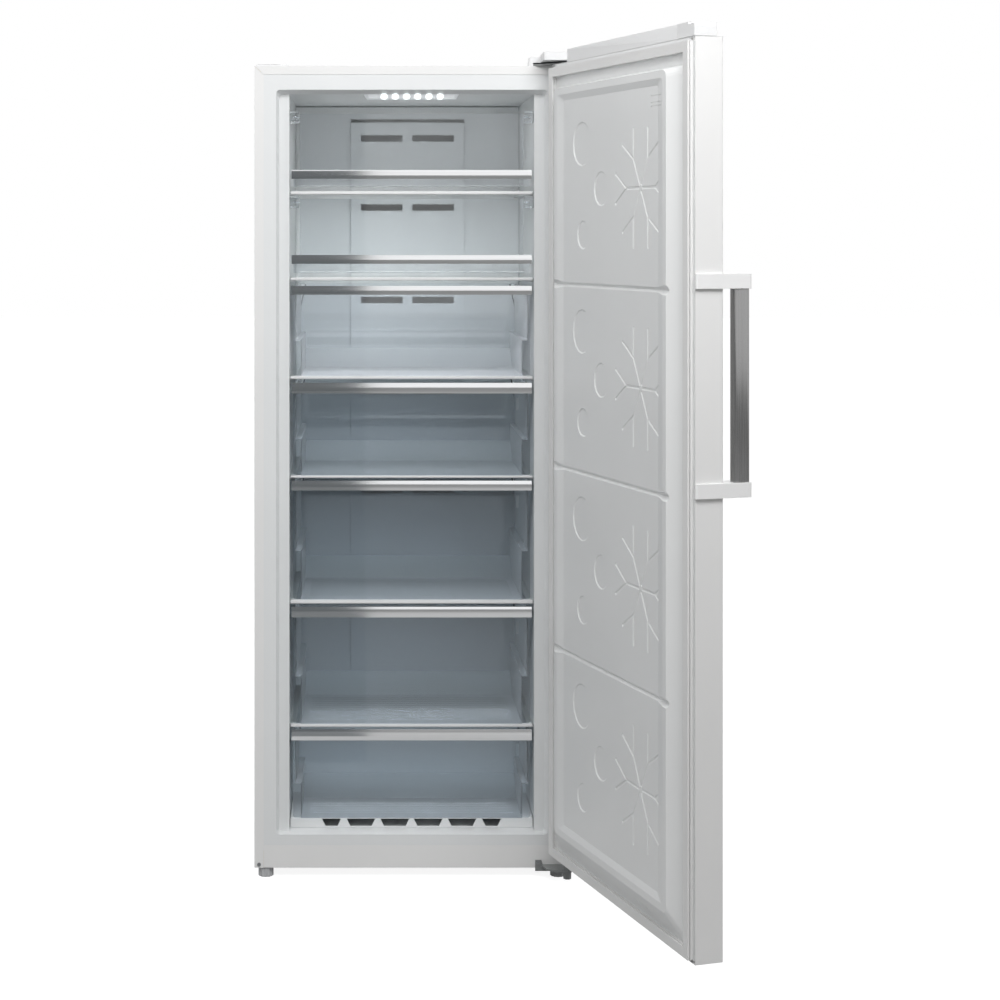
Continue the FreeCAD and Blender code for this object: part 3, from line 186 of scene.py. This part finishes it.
zinc_patches = zinc_flowers()
galvanised = bpy.data.materials.new("galvanised sheet")
galvanised.use_nodes = True
shader = galvanised.node_tree.nodes["Principled BSDF"]
shader.inputs["Metallic"].default_value = 0.85
zinc = galvanised.node_tree.nodes.new("ShaderNodeGroup")
zinc.node_tree = zinc_patches
zinc.inputs["Patch size"].default_value = 0.014
galvanised.node_tree.links.new(zinc.outputs["Colour"], shader.inputs["Base Color"])
galvanised.node_tree.links.new(zinc.outputs["Roughness"], shader.inputs["Roughness"])
dressed(galvanised, "back_panel", "base_plate", "machine_cover")


def sockets(tree, **kinds):
    """Adds named inputs to a tree of geometry nodes, and its one output."""
    for name, kind in kinds.items():
        tree.interface.new_socket(name=name.replace("_", " "), in_out="INPUT", socket_type="NodeSocket" + kind)
    tree.interface.new_socket(name="Geometry", in_out="OUTPUT", socket_type="NodeSocketGeometry")
    return tree.nodes.new("NodeGroupInput").outputs


def finished(tree, geometry, material):
    """Ends a tree: instances made real and given their material."""
    real = tree.nodes.new("GeometryNodeRealizeInstances")
    tree.links.new(geometry, real.inputs["Geometry"])
    painted = tree.nodes.new("GeometryNodeSetMaterial")
    tree.links.new(real.outputs["Geometry"], painted.inputs["Geometry"])
    tree.links.new(material, painted.inputs["Material"])
    tree.links.new(painted.outputs["Geometry"], tree.nodes.new("NodeGroupOutput").inputs["Geometry"])


def grown(name, tree, body, slot, **values):
    """A piece grown by a tree of geometry nodes, kept as a plain mesh that rides on a body."""
    seed = bpy.data.objects.new(name + " seed", bpy.data.meshes.new(name + " seed"))
    bpy.context.scene.collection.objects.link(seed)
    modifier = seed.modifiers.new("grown", "NODES")
    modifier.node_group = tree
    for item in tree.interface.items_tree:
        if item.in_out == "INPUT" and item.name.replace(" ", "_") in values:
            modifier[item.identifier] = values[item.name.replace(" ", "_")]
    bpy.context.view_layer.update()
    evaluated = seed.evaluated_get(bpy.context.evaluated_depsgraph_get())
    mesh = bpy.data.meshes.new_from_object(evaluated)
    seed.modifiers.remove(modifier)
    bpy.data.objects.remove(seed)
    piece = bpy.data.objects.new(name, mesh)
    bpy.context.scene.collection.objects.link(piece)
    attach(piece, body)
    return piece


def louvre_field():
    """Tree for pressed louvres: a curved lip inside the sheet, under every slot of a grid of slots."""
    tree = bpy.data.node_groups.new("louvre field", "GeometryNodeTree")
    given = sockets(tree, First="Vector", Column_step="Vector", Row_step="Vector", Columns="Int", Rows="Int",
                    Half_length="Vector", Reach="Float", Sheet="Float", Finish="Material")
    add, link = tree.nodes.new, tree.links.new
    column = add("GeometryNodeMeshLine")
    link(given["Columns"], column.inputs["Count"])
    link(given["First"], column.inputs["Start Location"])
    link(given["Column step"], column.inputs["Offset"])
    row = add("GeometryNodeMeshLine")
    link(given["Rows"], row.inputs["Count"])
    link(given["Row step"], row.inputs["Offset"])
    grid = add("GeometryNodeInstanceOnPoints")
    link(column.outputs["Mesh"], grid.inputs["Points"])
    link(row.outputs["Mesh"], grid.inputs["Instance"])
    places = add("GeometryNodeRealizeInstances")
    link(grid.outputs["Instances"], places.inputs["Geometry"])
    backwards = add("ShaderNodeVectorMath")
    backwards.operation = "SCALE"
    backwards.inputs["Scale"].default_value = -1.0
    link(given["Half length"], backwards.inputs[0])
    run = add("GeometryNodeCurvePrimitiveLine")
    link(backwards.outputs["Vector"], run.inputs["Start"])
    link(given["Half length"], run.inputs["End"])
    bow = add("GeometryNodeCurveArc")
    bow.inputs["Resolution"].default_value = 7
    bow.inputs["Sweep Angle"].default_value = math.radians(90)
    link(given["Reach"], bow.inputs["Radius"])
    hood = add("GeometryNodeCurveToMesh")
    link(run.outputs["Curve"], hood.inputs["Curve"])
    link(bow.outputs["Curve"], hood.inputs["Profile Curve"])
    thick = add("GeometryNodeExtrudeMesh")
    thick.inputs["Individual"].default_value = False
    link(hood.outputs["Mesh"], thick.inputs["Mesh"])
    link(given["Sheet"], thick.inputs["Offset Scale"])
    inner = add("GeometryNodeFlipFaces")
    link(hood.outputs["Mesh"], inner.inputs["Mesh"])
    closed = add("GeometryNodeJoinGeometry")
    link(thick.outputs["Mesh"], closed.inputs["Geometry"])
    link(inner.outputs["Mesh"], closed.inputs["Geometry"])
    welded = add("GeometryNodeMergeByDistance")
    welded.inputs["Distance"].default_value = 0.00005
    link(closed.outputs["Geometry"], welded.inputs["Geometry"])
    hoods = add("GeometryNodeInstanceOnPoints")
    link(places.outputs["Geometry"], hoods.inputs["Points"])
    link(welded.outputs["Geometry"], hoods.inputs["Instance"])
    finished(tree, hoods.outputs["Instances"], given["Finish"])
    return tree


def screw_rows():
    """Tree for two parallel rows of hexagon screws with a washer face, all facing the rear."""
    tree = bpy.data.node_groups.new("screw rows", "GeometryNodeTree")
    given = sockets(tree, First="Vector", Step="Vector", Count="Int", Other_row="Vector", Washer_radius="Float",
                    Finish="Material")
    add, link = tree.nodes.new, tree.links.new
    row = add("GeometryNodeMeshLine")
    link(given["Count"], row.inputs["Count"])
    link(given["First"], row.inputs["Start Location"])
    link(given["Step"], row.inputs["Offset"])
    other = add("GeometryNodeTransform")
    link(row.outputs["Mesh"], other.inputs["Geometry"])
    link(given["Other row"], other.inputs["Translation"])
    both = add("GeometryNodeJoinGeometry")
    link(row.outputs["Mesh"], both.inputs["Geometry"])
    link(other.outputs["Geometry"], both.inputs["Geometry"])
    head = add("GeometryNodeJoinGeometry")
    washer, hexagon, crown = (24, 1.0, -0.0002, 0.0008), (6, 0.74, 0.0006, 0.0032), (12, 0.6, 0.003, 0.0036)
    for corners, wide, low, high in (washer, hexagon, crown):
        disc = add("GeometryNodeMeshCylinder")
        disc.inputs["Vertices"].default_value = corners
        disc.inputs["Depth"].default_value = high - low
        radius = add("ShaderNodeMath")
        radius.operation = "MULTIPLY"
        radius.inputs[1].default_value = wide
        link(given["Washer radius"], radius.inputs[0])
        link(radius.outputs[0], disc.inputs["Radius"])
        raised = add("GeometryNodeTransform")
        raised.inputs["Translation"].default_value = (0.0, (low + high) / 2, 0.0)
        raised.inputs["Rotation"].default_value = (math.radians(-90), 0.0, 0.0)
        link(disc.outputs["Mesh"], raised.inputs["Geometry"])
        link(raised.outputs["Geometry"], head.inputs["Geometry"])
    heads = add("GeometryNodeInstanceOnPoints")
    link(both.outputs["Geometry"], heads.inputs["Points"])
    link(head.outputs["Geometry"], heads.inputs["Instance"])
    finished(tree, heads.outputs["Instances"], given["Finish"])
    return tree


louvres = louvre_field()
grown("louvre_hoods", louvres, "cabinet", "zinc_sheet", First=(-0.2485, 0.6393, 0.0585),
      Column_step=(0.2395, 0.0, 0.0), Row_step=(0.0, 0.0, 0.026), Columns=3, Rows=7,
      Half_length=(0.1045, 0.0, 0.0), Reach=0.0095, Sheet=0.0008, Finish=galvanised)
rear_screws = screw_rows()
grown("back_screws", rear_screws, "cabinet", "plated_steel", First=(-0.345, 0.64, 0.30), Step=(0.0, 0.0, 0.25),
      Count=7, Other_row=(0.69, 0.0, 0.0), Washer_radius=0.0052, Finish=galvanised)
grown("cover_screws", rear_screws, "cabinet", "plated_steel", First=(-0.34, 0.6395, 0.033),
      Step=(0.226, 0.0, 0.0), Count=4, Other_row=(0.0, 0.0, 0.2115), Washer_radius=0.0045, Finish=galvanised)

# ---------------------------------------------------------------- insulation
# Polyurethane foam, blown between the casing and the liner, cream coloured and finely porous. It
# shows nowhere while the freezer is whole.

foam, _ = grained("rigid foam", (0.80, 0.70, 0.45), 0.85, 0.12, 0.1, 0.0012, 0.00012)
dressed(foam, "cabinet_foam", "door_foam")

# ---------------------------------------------------------------- liner and rear wall
# The liner is one vacuum-formed sheet of white polystyrene. The rear wall with its raised air duct
# and the cover of the return air at the foot are separate mouldings of the same white plastic.

liner_white, _ = grained("white polystyrene sheet", (0.80, 0.815, 0.82), 0.38, 0.03, 0.08, 0.004, 0.00001)
dressed(liner_white, "inner_liner", "evaporator_cover", "air_return_cover")
eased(0.0025, "inner_liner")
eased(0.001, "evaporator_cover", "air_return_cover")

# ---------------------------------------------------------------- cold-making parts behind the walls
# Finned aluminium evaporator, fan, and in the rear compartment the black compressor with its copper
# pipes, the wire condenser and the tray for melt water.


def metal_finish(name, colour, roughness, spread=0.08, grain=0.003, relief=0.000008):
    """Bare metal with a little unevenness in its gloss."""
    material, shader = grained(name, colour, roughness, 0.08, spread, grain, relief)
    shader.inputs["Metallic"].default_value = 1.0
    return material


dressed(metal_finish("mill aluminium", (0.72, 0.73, 0.74), 0.35), "evaporator")
dressed(metal_finish("drawn copper", (0.72, 0.36, 0.20), 0.30), "refrigerant_pipes")
black_paint, _ = grained("black enamel", (0.012, 0.012, 0.013), 0.28, 0.1, 0.08, 0.003, 0.00002)
dressed(black_paint, "compressor", "condenser")
dark_plastic, _ = grained("dark moulded plastic", (0.05, 0.052, 0.055), 0.45, 0.1, 0.08, 0.0008, 0.00002)
dressed(dark_plastic, "fan_motor", "drip_tray", "cord_gland")

# ---------------------------------------------------------------- shelves
# Toughened glass plates on the liner's ledges, each pushed into a white moulded front trim. Lamplight
# passes through the glass and through every clear moulding.


def clear_solid(name, colour, roughness, ior):
    """A clear solid that lets lamplight through; returns the material and its Principled shader."""
    material = bpy.data.materials.new(name)
    material.use_nodes = True
    tree = material.node_tree
    shader = tree.nodes["Principled BSDF"]
    shader.inputs["Base Color"].default_value = (*colour, 1.0)
    shader.inputs["Roughness"].default_value = roughness
    shader.inputs["IOR"].default_value = ior
    shader.inputs["Transmission Weight"].default_value = 1.0
    path = tree.nodes.new("ShaderNodeLightPath")
    clear = tree.nodes.new("ShaderNodeBsdfTransparent")
    clear.inputs["Color"].default_value = (*[0.5 + c / 2 for c in colour], 1.0)
    mix = tree.nodes.new("ShaderNodeMixShader")
    tree.links.new(path.outputs["Is Shadow Ray"], mix.inputs["Fac"])
    tree.links.new(shader.outputs["BSDF"], mix.inputs[1])
    tree.links.new(clear.outputs["BSDF"], mix.inputs[2])
    tree.links.new(mix.outputs["Shader"], tree.nodes["Material Output"].inputs["Surface"])
    return material, shader


def scattering(material, shader, share, tone):
    """Lets the walls that run away from the front scatter light, as the satin sides of a mould do."""
    tree = material.node_tree
    place = tree.nodes.new("ShaderNodeTexCoord")
    apart = tree.nodes.new("ShaderNodeSeparateXYZ")
    tree.links.new(place.outputs["Normal"], apart.inputs["Vector"])
    level = tree.nodes.new("ShaderNodeMath")
    level.operation = "ABSOLUTE"
    tree.links.new(apart.outputs["Y"], level.inputs[0])
    satin = tree.nodes.new("ShaderNodeMapRange")
    satin.inputs["From Min"].default_value = 0.85
    satin.inputs["From Max"].default_value = 0.4
    satin.inputs["To Max"].default_value = share
    tree.links.new(level.outputs[0], satin.inputs["Value"])
    milky = tree.nodes.new("ShaderNodeBsdfDiffuse")
    milky.inputs["Color"].default_value = (*tone, 1.0)
    blend = tree.nodes.new("ShaderNodeMixShader")
    tree.links.new(satin.outputs["Result"], blend.inputs["Fac"])
    tree.links.new(shader.outputs["BSDF"], blend.inputs[1])
    tree.links.new(milky.outputs["BSDF"], blend.inputs[2])
    outer = tree.nodes["Material Output"].inputs["Surface"].links[0].from_node
    tree.links.new(blend.outputs["Shader"], outer.inputs[1])


shelf_glass, _ = clear_solid("toughened glass", (0.92, 0.955, 0.95), 0.0, 1.52)
dressed(shelf_glass, *[f"glass_shelf_{n}" for n in range(1, 7)])
moulded_white, _ = grained("white moulded plastic", (0.82, 0.825, 0.83), 0.35, 0.03, 0.06, 0.001, 0.000008)
dressed(moulded_white, "shelf_trims", "fan_blade", "door_bushes")
eased(0.0008, "shelf_trims")

# ---------------------------------------------------------------- flaps
# Two clear polystyrene flaps hang on pins in clear brackets on the side walls. A brushed metal grip
# strip is clipped along each one's lower edge.

clear_plastic, shader = clear_solid("clear polystyrene", (0.84, 0.865, 0.885), 0.03, 1.59)
scattering(clear_plastic, shader, 0.5, (0.80, 0.82, 0.84))
dressed(clear_plastic, "flap_1_panel", "flap_2_panel", "flap_brackets")


def brushed_lines():
    """Group for brushed metal: long fine scratches along one axis."""
    tree = bpy.data.node_groups.new("brushed lines", "ShaderNodeTree")
    for name, kind in (("Colour", "NodeSocketColor"), ("Stretch", "NodeSocketVector"),
                       ("Roughness", "NodeSocketFloat"), ("Relief", "NodeSocketFloat")):
        tree.interface.new_socket(name=name, in_out="INPUT", socket_type=kind)
    for name, kind in (("Colour", "NodeSocketColor"), ("Roughness", "NodeSocketFloat"),
                       ("Normal", "NodeSocketVector")):
        tree.interface.new_socket(name=name, in_out="OUTPUT", socket_type=kind)
    add, link = tree.nodes.new, tree.links.new
    start, end = add("NodeGroupInput"), add("NodeGroupOutput")
    place = add("ShaderNodeTexCoord")
    drawn = add("ShaderNodeVectorMath")
    drawn.operation = "MULTIPLY"
    link(place.outputs["Object"], drawn.inputs[0])
    link(start.outputs["Stretch"], drawn.inputs[1])
    lines = add("ShaderNodeTexNoise")
    lines.inputs["Scale"].default_value = 1.0
    lines.inputs["Detail"].default_value = 4.0
    link(drawn.outputs["Vector"], lines.inputs["Vector"])
    tone = add("ShaderNodeMapRange")
    tone.inputs["To Min"].default_value = 0.86
    tone.inputs["To Max"].default_value = 1.1
    link(lines.outputs["Fac"], tone.inputs["Value"])
    tint = add("ShaderNodeVectorMath")
    tint.operation = "SCALE"
    link(start.outputs["Colour"], tint.inputs[0])
    link(tone.outputs["Result"], tint.inputs["Scale"])
    link(tint.outputs["Vector"], end.inputs["Colour"])
    gloss = add("ShaderNodeMath")
    gloss.operation = "MULTIPLY_ADD"
    gloss.inputs[1].default_value = 0.05
    link(lines.outputs["Fac"], gloss.inputs[0])
    link(start.outputs["Roughness"], gloss.inputs[2])
    link(gloss.outputs[0], end.inputs["Roughness"])
    height = add("ShaderNodeMath")
    height.operation = "MULTIPLY"
    link(lines.outputs["Fac"], height.inputs[0])
    link(start.outputs["Relief"], height.inputs[1])
    bump = add("ShaderNodeBump")
    bump.inputs["Distance"].default_value = 1.0
    link(height.outputs[0], bump.inputs["Height"])
    link(bump.outputs["Normal"], end.inputs["Normal"])
    return tree


brushing = brushed_lines()


def brushed(name, colour, roughness, stretch):
    """Brushed metal; the scratches run along the axis with the smallest stretch."""
    material = bpy.data.materials.new(name)
    material.use_nodes = True
    tree = material.node_tree
    shader = tree.nodes["Principled BSDF"]
    shader.inputs["Metallic"].default_value = 1.0
    lines = tree.nodes.new("ShaderNodeGroup")
    lines.node_tree = brushing
    lines.inputs["Colour"].default_value = (*colour, 1.0)
    lines.inputs["Stretch"].default_value = stretch
    lines.inputs["Roughness"].default_value = roughness
    lines.inputs["Relief"].default_value = 0.000001
    tree.links.new(lines.outputs["Colour"], shader.inputs["Base Color"])
    tree.links.new(lines.outputs["Roughness"], shader.inputs["Roughness"])
    tree.links.new(lines.outputs["Normal"], shader.inputs["Normal"])
    return material


strip_metal = brushed("brushed strip", (0.88, 0.89, 0.90), 0.06, (3.0, 900.0, 900.0))
dressed(strip_metal, "flap_1_strip", "flap_2_strip")

# ---------------------------------------------------------------- drawers
# Five clear bins of polystyrene, each with a brushed metal grip strip over the upper edge of its front.
# The four lower bins share a darker copy of the same plastic: painted shade for the dimmer light inside them.

bin_plastic, shader = clear_solid("clear polystyrene bin", (0.92, 0.935, 0.955), 0.03, 1.59)
scattering(bin_plastic, shader, 0.5, (0.80, 0.82, 0.84))
dressed(bin_plastic, "drawer_1_bin")
# Darker copy of the bin plastic, with a darker satin tone, for drawers 2 to 5: painted shade, not a tinted
# grade.
shaded_bin_plastic, shader = clear_solid("shaded bin polystyrene", (0.72, 0.755, 0.785), 0.03, 1.59)
scattering(shaded_bin_plastic, shader, 0.45, (0.66, 0.69, 0.71))
dressed(shaded_bin_plastic, *[f"drawer_{n}_bin" for n in range(2, 6)])
dressed(strip_metal, *[f"drawer_{n}_strip" for n in range(1, 6)])

# ---------------------------------------------------------------- lamp
# A strip of six white light-emitting diodes behind a frosted plastic lens, which is clipped into the
# liner's ceiling. Each diode shows as a round bright spot on the lens's front slope and underside.

lamp_lens = bpy.data.materials.new("frosted lens")
lamp_lens.use_nodes = True
shader = lamp_lens.node_tree.nodes["Principled BSDF"]
shader.inputs["Base Color"].default_value = (0.78, 0.81, 0.82, 1.0)
place = lamp_lens.node_tree.nodes.new("ShaderNodeTexCoord")
apart = lamp_lens.node_tree.nodes.new("ShaderNodeSeparateXYZ")
lamp_lens.node_tree.links.new(place.outputs["Object"], apart.inputs["Vector"])
LED_STEP = 0.0254
LED_FIRST = -0.0627
LED_DEPTH = 0.048
LED_ROW_HALF = 0.078
LED_DROP = 0.0052
LENS_SLOPE_REAR = 0.0252


def chained(tree, operation, first, second):
    """A Math node on a socket and a number or a socket."""
    node = tree.nodes.new("ShaderNodeMath")
    node.operation = operation
    for index, value in enumerate((first, second)):
        if isinstance(value, (int, float)):
            node.inputs[index].default_value = value
        else:
            tree.links.new(value, node.inputs[index])
    return node.outputs[0]


tree = lamp_lens.node_tree
along = chained(tree, "SUBTRACT", apart.outputs["X"], LED_FIRST - LED_STEP / 2)
cell = chained(tree, "WRAP", along, LED_STEP)
tree.nodes[-1].inputs[2].default_value = 0.0
offset = chained(tree, "ABSOLUTE", chained(tree, "SUBTRACT", cell, LED_STEP / 2), 0.0)
lens_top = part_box("led_lens")[1][2]
below = chained(tree, "ABSOLUTE", chained(tree, "SUBTRACT", apart.outputs["Y"], LED_DEPTH), 0.0)
on_front = chained(tree, "ABSOLUTE", chained(tree, "SUBTRACT", apart.outputs["Z"], lens_top - LED_DROP), 0.0)
behind_front = chained(tree, "GREATER_THAN", apart.outputs["Y"], LENS_SLOPE_REAR)
depth = chained(tree, "MINIMUM", below, chained(tree, "ADD", on_front, behind_front))
squares = chained(tree, "ADD", chained(tree, "POWER", offset, 2.0), chained(tree, "POWER", depth, 2.0))
radius = chained(tree, "SQRT", squares, 0.0)
glow = tree.nodes.new("ShaderNodeMapRange")
glow.inputs["From Min"].default_value = 0.0088
glow.inputs["From Max"].default_value = 0.0028
glow.inputs["To Min"].default_value = 0.0
glow.inputs["To Max"].default_value = 1.0
tree.links.new(radius, glow.inputs["Value"])
inside = chained(tree, "LESS_THAN", chained(tree, "ABSOLUTE", apart.outputs["X"], 0.0),
                 LED_ROW_HALF)
light = chained(tree, "MULTIPLY", glow.outputs["Result"], inside)
colour = tree.nodes.new("ShaderNodeMix")
colour.data_type = "RGBA"
colour.inputs["A"].default_value = (0.045, 0.047, 0.05, 1.0)
colour.inputs["B"].default_value = (0.90, 0.97, 1.0, 1.0)
tree.links.new(light, colour.inputs["Factor"])
tree.links.new(colour.outputs["Result"], shader.inputs["Emission Color"])
shader.inputs["Emission Strength"].default_value = 3.2
shader.inputs["Roughness"].default_value = 0.4
dressed(lamp_lens, "led_lens")

# ---------------------------------------------------------------- door
# Coated steel outside, a vacuum-formed polystyrene panel inside, foam between them, and an off-white
# magnetic seal round the panel's rim. White mouldings close its top.

dressed(white_coat, "door_skin")
panel_white, _ = grained("white door panel sheet", (0.86, 0.87, 0.87), 0.38, 0.03, 0.08, 0.004, 0.00001)
dressed(panel_white, "door_liner")
dressed(moulded_white, "door_top_cap", "door_top_cap_end")
eased(0.0008, "door_top_cap", "door_top_cap_end")
seal, _ = grained("off-white seal rubber", (0.84, 0.84, 0.835), 0.55, 0.05, 0.08, 0.002, 0.00001)
dressed(seal, "door_gasket")

# Trim rails close the gap between the liner's edge and the cap above it, and between that edge and the
# outer steel's fold below it. They are drawn where they lie with the door shut, then turned about the
# hinge to the open door.
HINGE = (0.345, -0.0446)
OPEN_BY = math.radians(107)
for name, low, high in (("door_top_rail", 1.8177, 1.8243), ("door_bottom_rail", 0.0627, 0.0693)):
    corners = []
    for x, y in ((-0.334, -0.0163), (0.334, -0.0163), (0.334, -0.0127), (-0.334, -0.0127)):
        along, out = x - HINGE[0], y - HINGE[1]
        corners.append((HINGE[0] + along * math.cos(OPEN_BY) - out * math.sin(OPEN_BY),
                        HINGE[1] + along * math.sin(OPEN_BY) + out * math.cos(OPEN_BY)))
    mesh = bpy.data.meshes.new(name)
    mesh.from_pydata([(*c, low) for c in corners] + [(*c, high) for c in corners], [],
                     [(3, 2, 1, 0), (4, 5, 6, 7), (0, 1, 5, 4), (1, 2, 6, 5), (2, 3, 7, 6), (3, 0, 4, 7)])
    mesh.materials.append(moulded_white)
    rail = bpy.data.objects.new(name, mesh)
    bpy.context.scene.collection.objects.link(rail)
    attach(rail, "door")

# ---------------------------------------------------------------- handle
# Two white moulded ends, screwed to the door's outer steel, hold an upright bar of brushed metal
# between them.

block_white, _ = grained("handle end plastic", (0.89, 0.89, 0.89), 0.35, 0.02, 0.06, 0.001, 0.000008)
dressed(block_white, "handle_blocks")
bar_metal = brushed("brushed bar", (0.34, 0.34, 0.34), 0.25, (900.0, 900.0, 3.0))
dressed(bar_metal, "handle_bar")
eased(0.0012, "handle_blocks", "handle_bar")

# ---------------------------------------------------------------- hinges, screws, feet and rollers
# Grey coated steel hinge plates, plated screws, a white cover over the upper hinge, and grey feet.

plated = metal_finish("zinc plating", (0.30, 0.31, 0.32), 0.32)
dressed(plated, "cabinet_screws")
hinge_grey, _ = grained("grey hinge coat", (0.26, 0.27, 0.27), 0.35, 0.1, 0.08, 0.0012, 0.00001)
dressed(hinge_grey, "top_hinge_bracket", "bottom_hinge_bracket", "bottom_hinge_pin")
dressed(moulded_white, "top_hinge_cover", "hinge_blank_cap")
eased(0.0008, "top_hinge_cover", "hinge_blank_cap")
foot_grey, _ = grained("grey moulded foot", (0.52, 0.53, 0.54), 0.45, 0.06, 0.08, 0.001, 0.00001)
dressed(foot_grey, "foot_left", "foot_right", "roller_left", "roller_right")

# ---------------------------------------------------------------- studio
# Plain white floor, soft light from the front and above with weaker fill from the rear and side, and
# the camera of the photograph. Camera, mirror and see-through rays meet a brighter floor and world.

FLOOR_HALF = 30.0
mesh = bpy.data.meshes.new("floor")
mesh.from_pydata([(-FLOOR_HALF, -FLOOR_HALF, 0), (FLOOR_HALF, -FLOOR_HALF, 0), (FLOOR_HALF, FLOOR_HALF, 0),
                  (-FLOOR_HALF, FLOOR_HALF, 0)], [], [(0, 1, 2, 3)])
floor = bpy.data.objects.new("floor", mesh)
bpy.context.scene.collection.objects.link(floor)
floor_white = bpy.data.materials.new("studio floor")
floor_white.use_nodes = True
tree = floor_white.node_tree
shader = tree.nodes["Principled BSDF"]
shader.inputs["Base Color"].default_value = (0.46, 0.46, 0.46, 1.0)
shader.inputs["Roughness"].default_value = 0.9
path = tree.nodes.new("ShaderNodeLightPath")
mirrored = tree.nodes.new("ShaderNodeMath")
mirrored.operation = "MAXIMUM"
tree.links.new(path.outputs["Is Glossy Ray"], mirrored.inputs[0])
tree.links.new(path.outputs["Is Transmission Ray"], mirrored.inputs[1])
faint = tree.nodes.new("ShaderNodeMath")
faint.operation = "MULTIPLY"
faint.inputs[1].default_value = 0.14
tree.links.new(mirrored.outputs[0], faint.inputs[0])
glow = tree.nodes.new("ShaderNodeMath")
glow.operation = "MAXIMUM"
tree.links.new(path.outputs["Is Camera Ray"], glow.inputs[0])
tree.links.new(faint.outputs[0], glow.inputs[1])
brightness = tree.nodes.new("ShaderNodeMath")
brightness.operation = "MULTIPLY"
brightness.inputs[1].default_value = 0.87
tree.links.new(glow.outputs[0], brightness.inputs[0])
lit = tree.nodes.new("ShaderNodeEmission")
lit.inputs["Color"].default_value = (1.0, 1.0, 1.0, 1.0)
tree.links.new(brightness.outputs[0], lit.inputs["Strength"])
added = tree.nodes.new("ShaderNodeAddShader")
tree.links.new(shader.outputs["BSDF"], added.inputs[0])
tree.links.new(lit.outputs["Emission"], added.inputs[1])
tree.links.new(added.outputs["Shader"], tree.nodes["Material Output"].inputs["Surface"])
mesh.materials.append(floor_white)

world = bpy.data.worlds.new("studio")
bpy.context.scene.world = world
world.use_nodes = True
tree = world.node_tree
for node in list(tree.nodes):
    tree.nodes.remove(node)
end = tree.nodes.new("ShaderNodeOutputWorld")
path = tree.nodes.new("ShaderNodeLightPath")
white = tree.nodes.new("ShaderNodeBackground")
white.inputs["Strength"].default_value = 1.0
soft = tree.nodes.new("ShaderNodeBackground")
soft.inputs["Color"].default_value = (1.0, 1.0, 1.0, 1.0)
white.inputs["Color"].default_value = (1.0, 1.0, 1.0, 1.0)
soft.inputs["Strength"].default_value = 0.22
first = tree.nodes.new("ShaderNodeMath")
first.operation = "MAXIMUM"
tree.links.new(path.outputs["Is Camera Ray"], first.inputs[0])
tree.links.new(path.outputs["Is Glossy Ray"], first.inputs[1])
second = tree.nodes.new("ShaderNodeMath")
second.operation = "MAXIMUM"
tree.links.new(first.outputs[0], second.inputs[0])
tree.links.new(path.outputs["Is Transmission Ray"], second.inputs[1])
mix = tree.nodes.new("ShaderNodeMixShader")
tree.links.new(second.outputs[0], mix.inputs["Fac"])
tree.links.new(soft.outputs["Background"], mix.inputs[1])
tree.links.new(white.outputs["Background"], mix.inputs[2])
tree.links.new(mix.outputs["Shader"], end.inputs["Surface"])


def softbox(name, place, aim, width, height, watts):
    """A rectangular studio lamp that points at a place."""
    data = bpy.data.lights.new(name, "AREA")
    data.shape = "RECTANGLE"
    data.size = width
    data.size_y = height
    data.energy = watts
    lamp = bpy.data.objects.new(name, data)
    bpy.context.scene.collection.objects.link(lamp)
    lamp.location = place
    lamp.rotation_euler = (Vector(aim) - Vector(place)).to_track_quat("-Z", "Y").to_euler()
    lamp.visible_camera = False
    lamp.visible_glossy = False
    return lamp


softbox("front_softbox", (0.1, -2.3, 3.3), (0.0, 0.0, 1.5), 2.8, 1.1, 66.0)
softbox("left_softbox", (-2.8, -1.8, 2.6), (0.35, -0.3, 1.4), 1.4, 1.6, 20.0)
softbox("right_softbox", (1.3, -2.6, 3.0), (0.5, -0.7, 1.8), 0.9, 0.9, 18.0)
softbox("rear_softbox", (-0.6, 3.4, 2.7), (0.0, 0.6, 0.9), 1.8, 1.6, 52.0)
softbox("side_softbox", (3.4, 1.0, 2.5), (0.4, 0.2, 1.0), 1.4, 1.4, 24.0)
softbox("ceiling_bounce", (0.0, 0.2, 1.60), (0.0, 0.2, 1.80), 0.4, 0.25, 0.16)

# A dark card beside the camera, seen only by what reflects: it darkens the left of the grip strips.
card_mesh = bpy.data.meshes.new("dark card")
card_mesh.from_pydata([(-2.4, -0.9, 0.003), (-0.1, -0.9, 0.003), (-0.1, -4.8, 0.003), (-2.4, -4.8, 0.003),
                       (-0.1, -4.8, 3.0), (-2.4, -4.8, 3.0)], [], [(0, 1, 2, 3), (3, 2, 4, 5)])
card = bpy.data.objects.new("dark card", card_mesh)
bpy.context.scene.collection.objects.link(card)
for ray in ("camera", "diffuse", "transmission", "volume_scatter", "shadow"):
    setattr(card, "visible_" + ray, False)
card_black = bpy.data.materials.new("card black")
card_black.use_nodes = True
card_black.node_tree.nodes["Principled BSDF"].inputs["Base Color"].default_value = (0.10, 0.10, 0.10, 1.0)
card_black.node_tree.nodes["Principled BSDF"].inputs["Roughness"].default_value = 0.9
card_black.node_tree.nodes["Principled BSDF"].inputs["Emission Color"].default_value = (0.9, 1.0, 1.05, 1.0)
card_black.node_tree.nodes["Principled BSDF"].inputs["Emission Strength"].default_value = 0.10
card_mesh.materials.append(card_black)

# The camera stands level and square to the cabinet, and its shift frames the picture.
camera_data = bpy.data.cameras.new("photo camera")
camera_data.lens = 73.08
camera_data.sensor_width = 36.0
camera_data.shift_x = 0.138
camera_data.shift_y = -0.267
camera_data.clip_end = 200.0
camera = bpy.data.objects.new("photo camera", camera_data)
bpy.context.scene.collection.objects.link(camera)
camera.location = (-0.1126, -4.570, 1.451)
camera.rotation_euler = (math.radians(90), 0.0, 0.0)
bpy.context.scene.camera = camera
bpy.context.scene.view_settings.view_transform = "Standard"
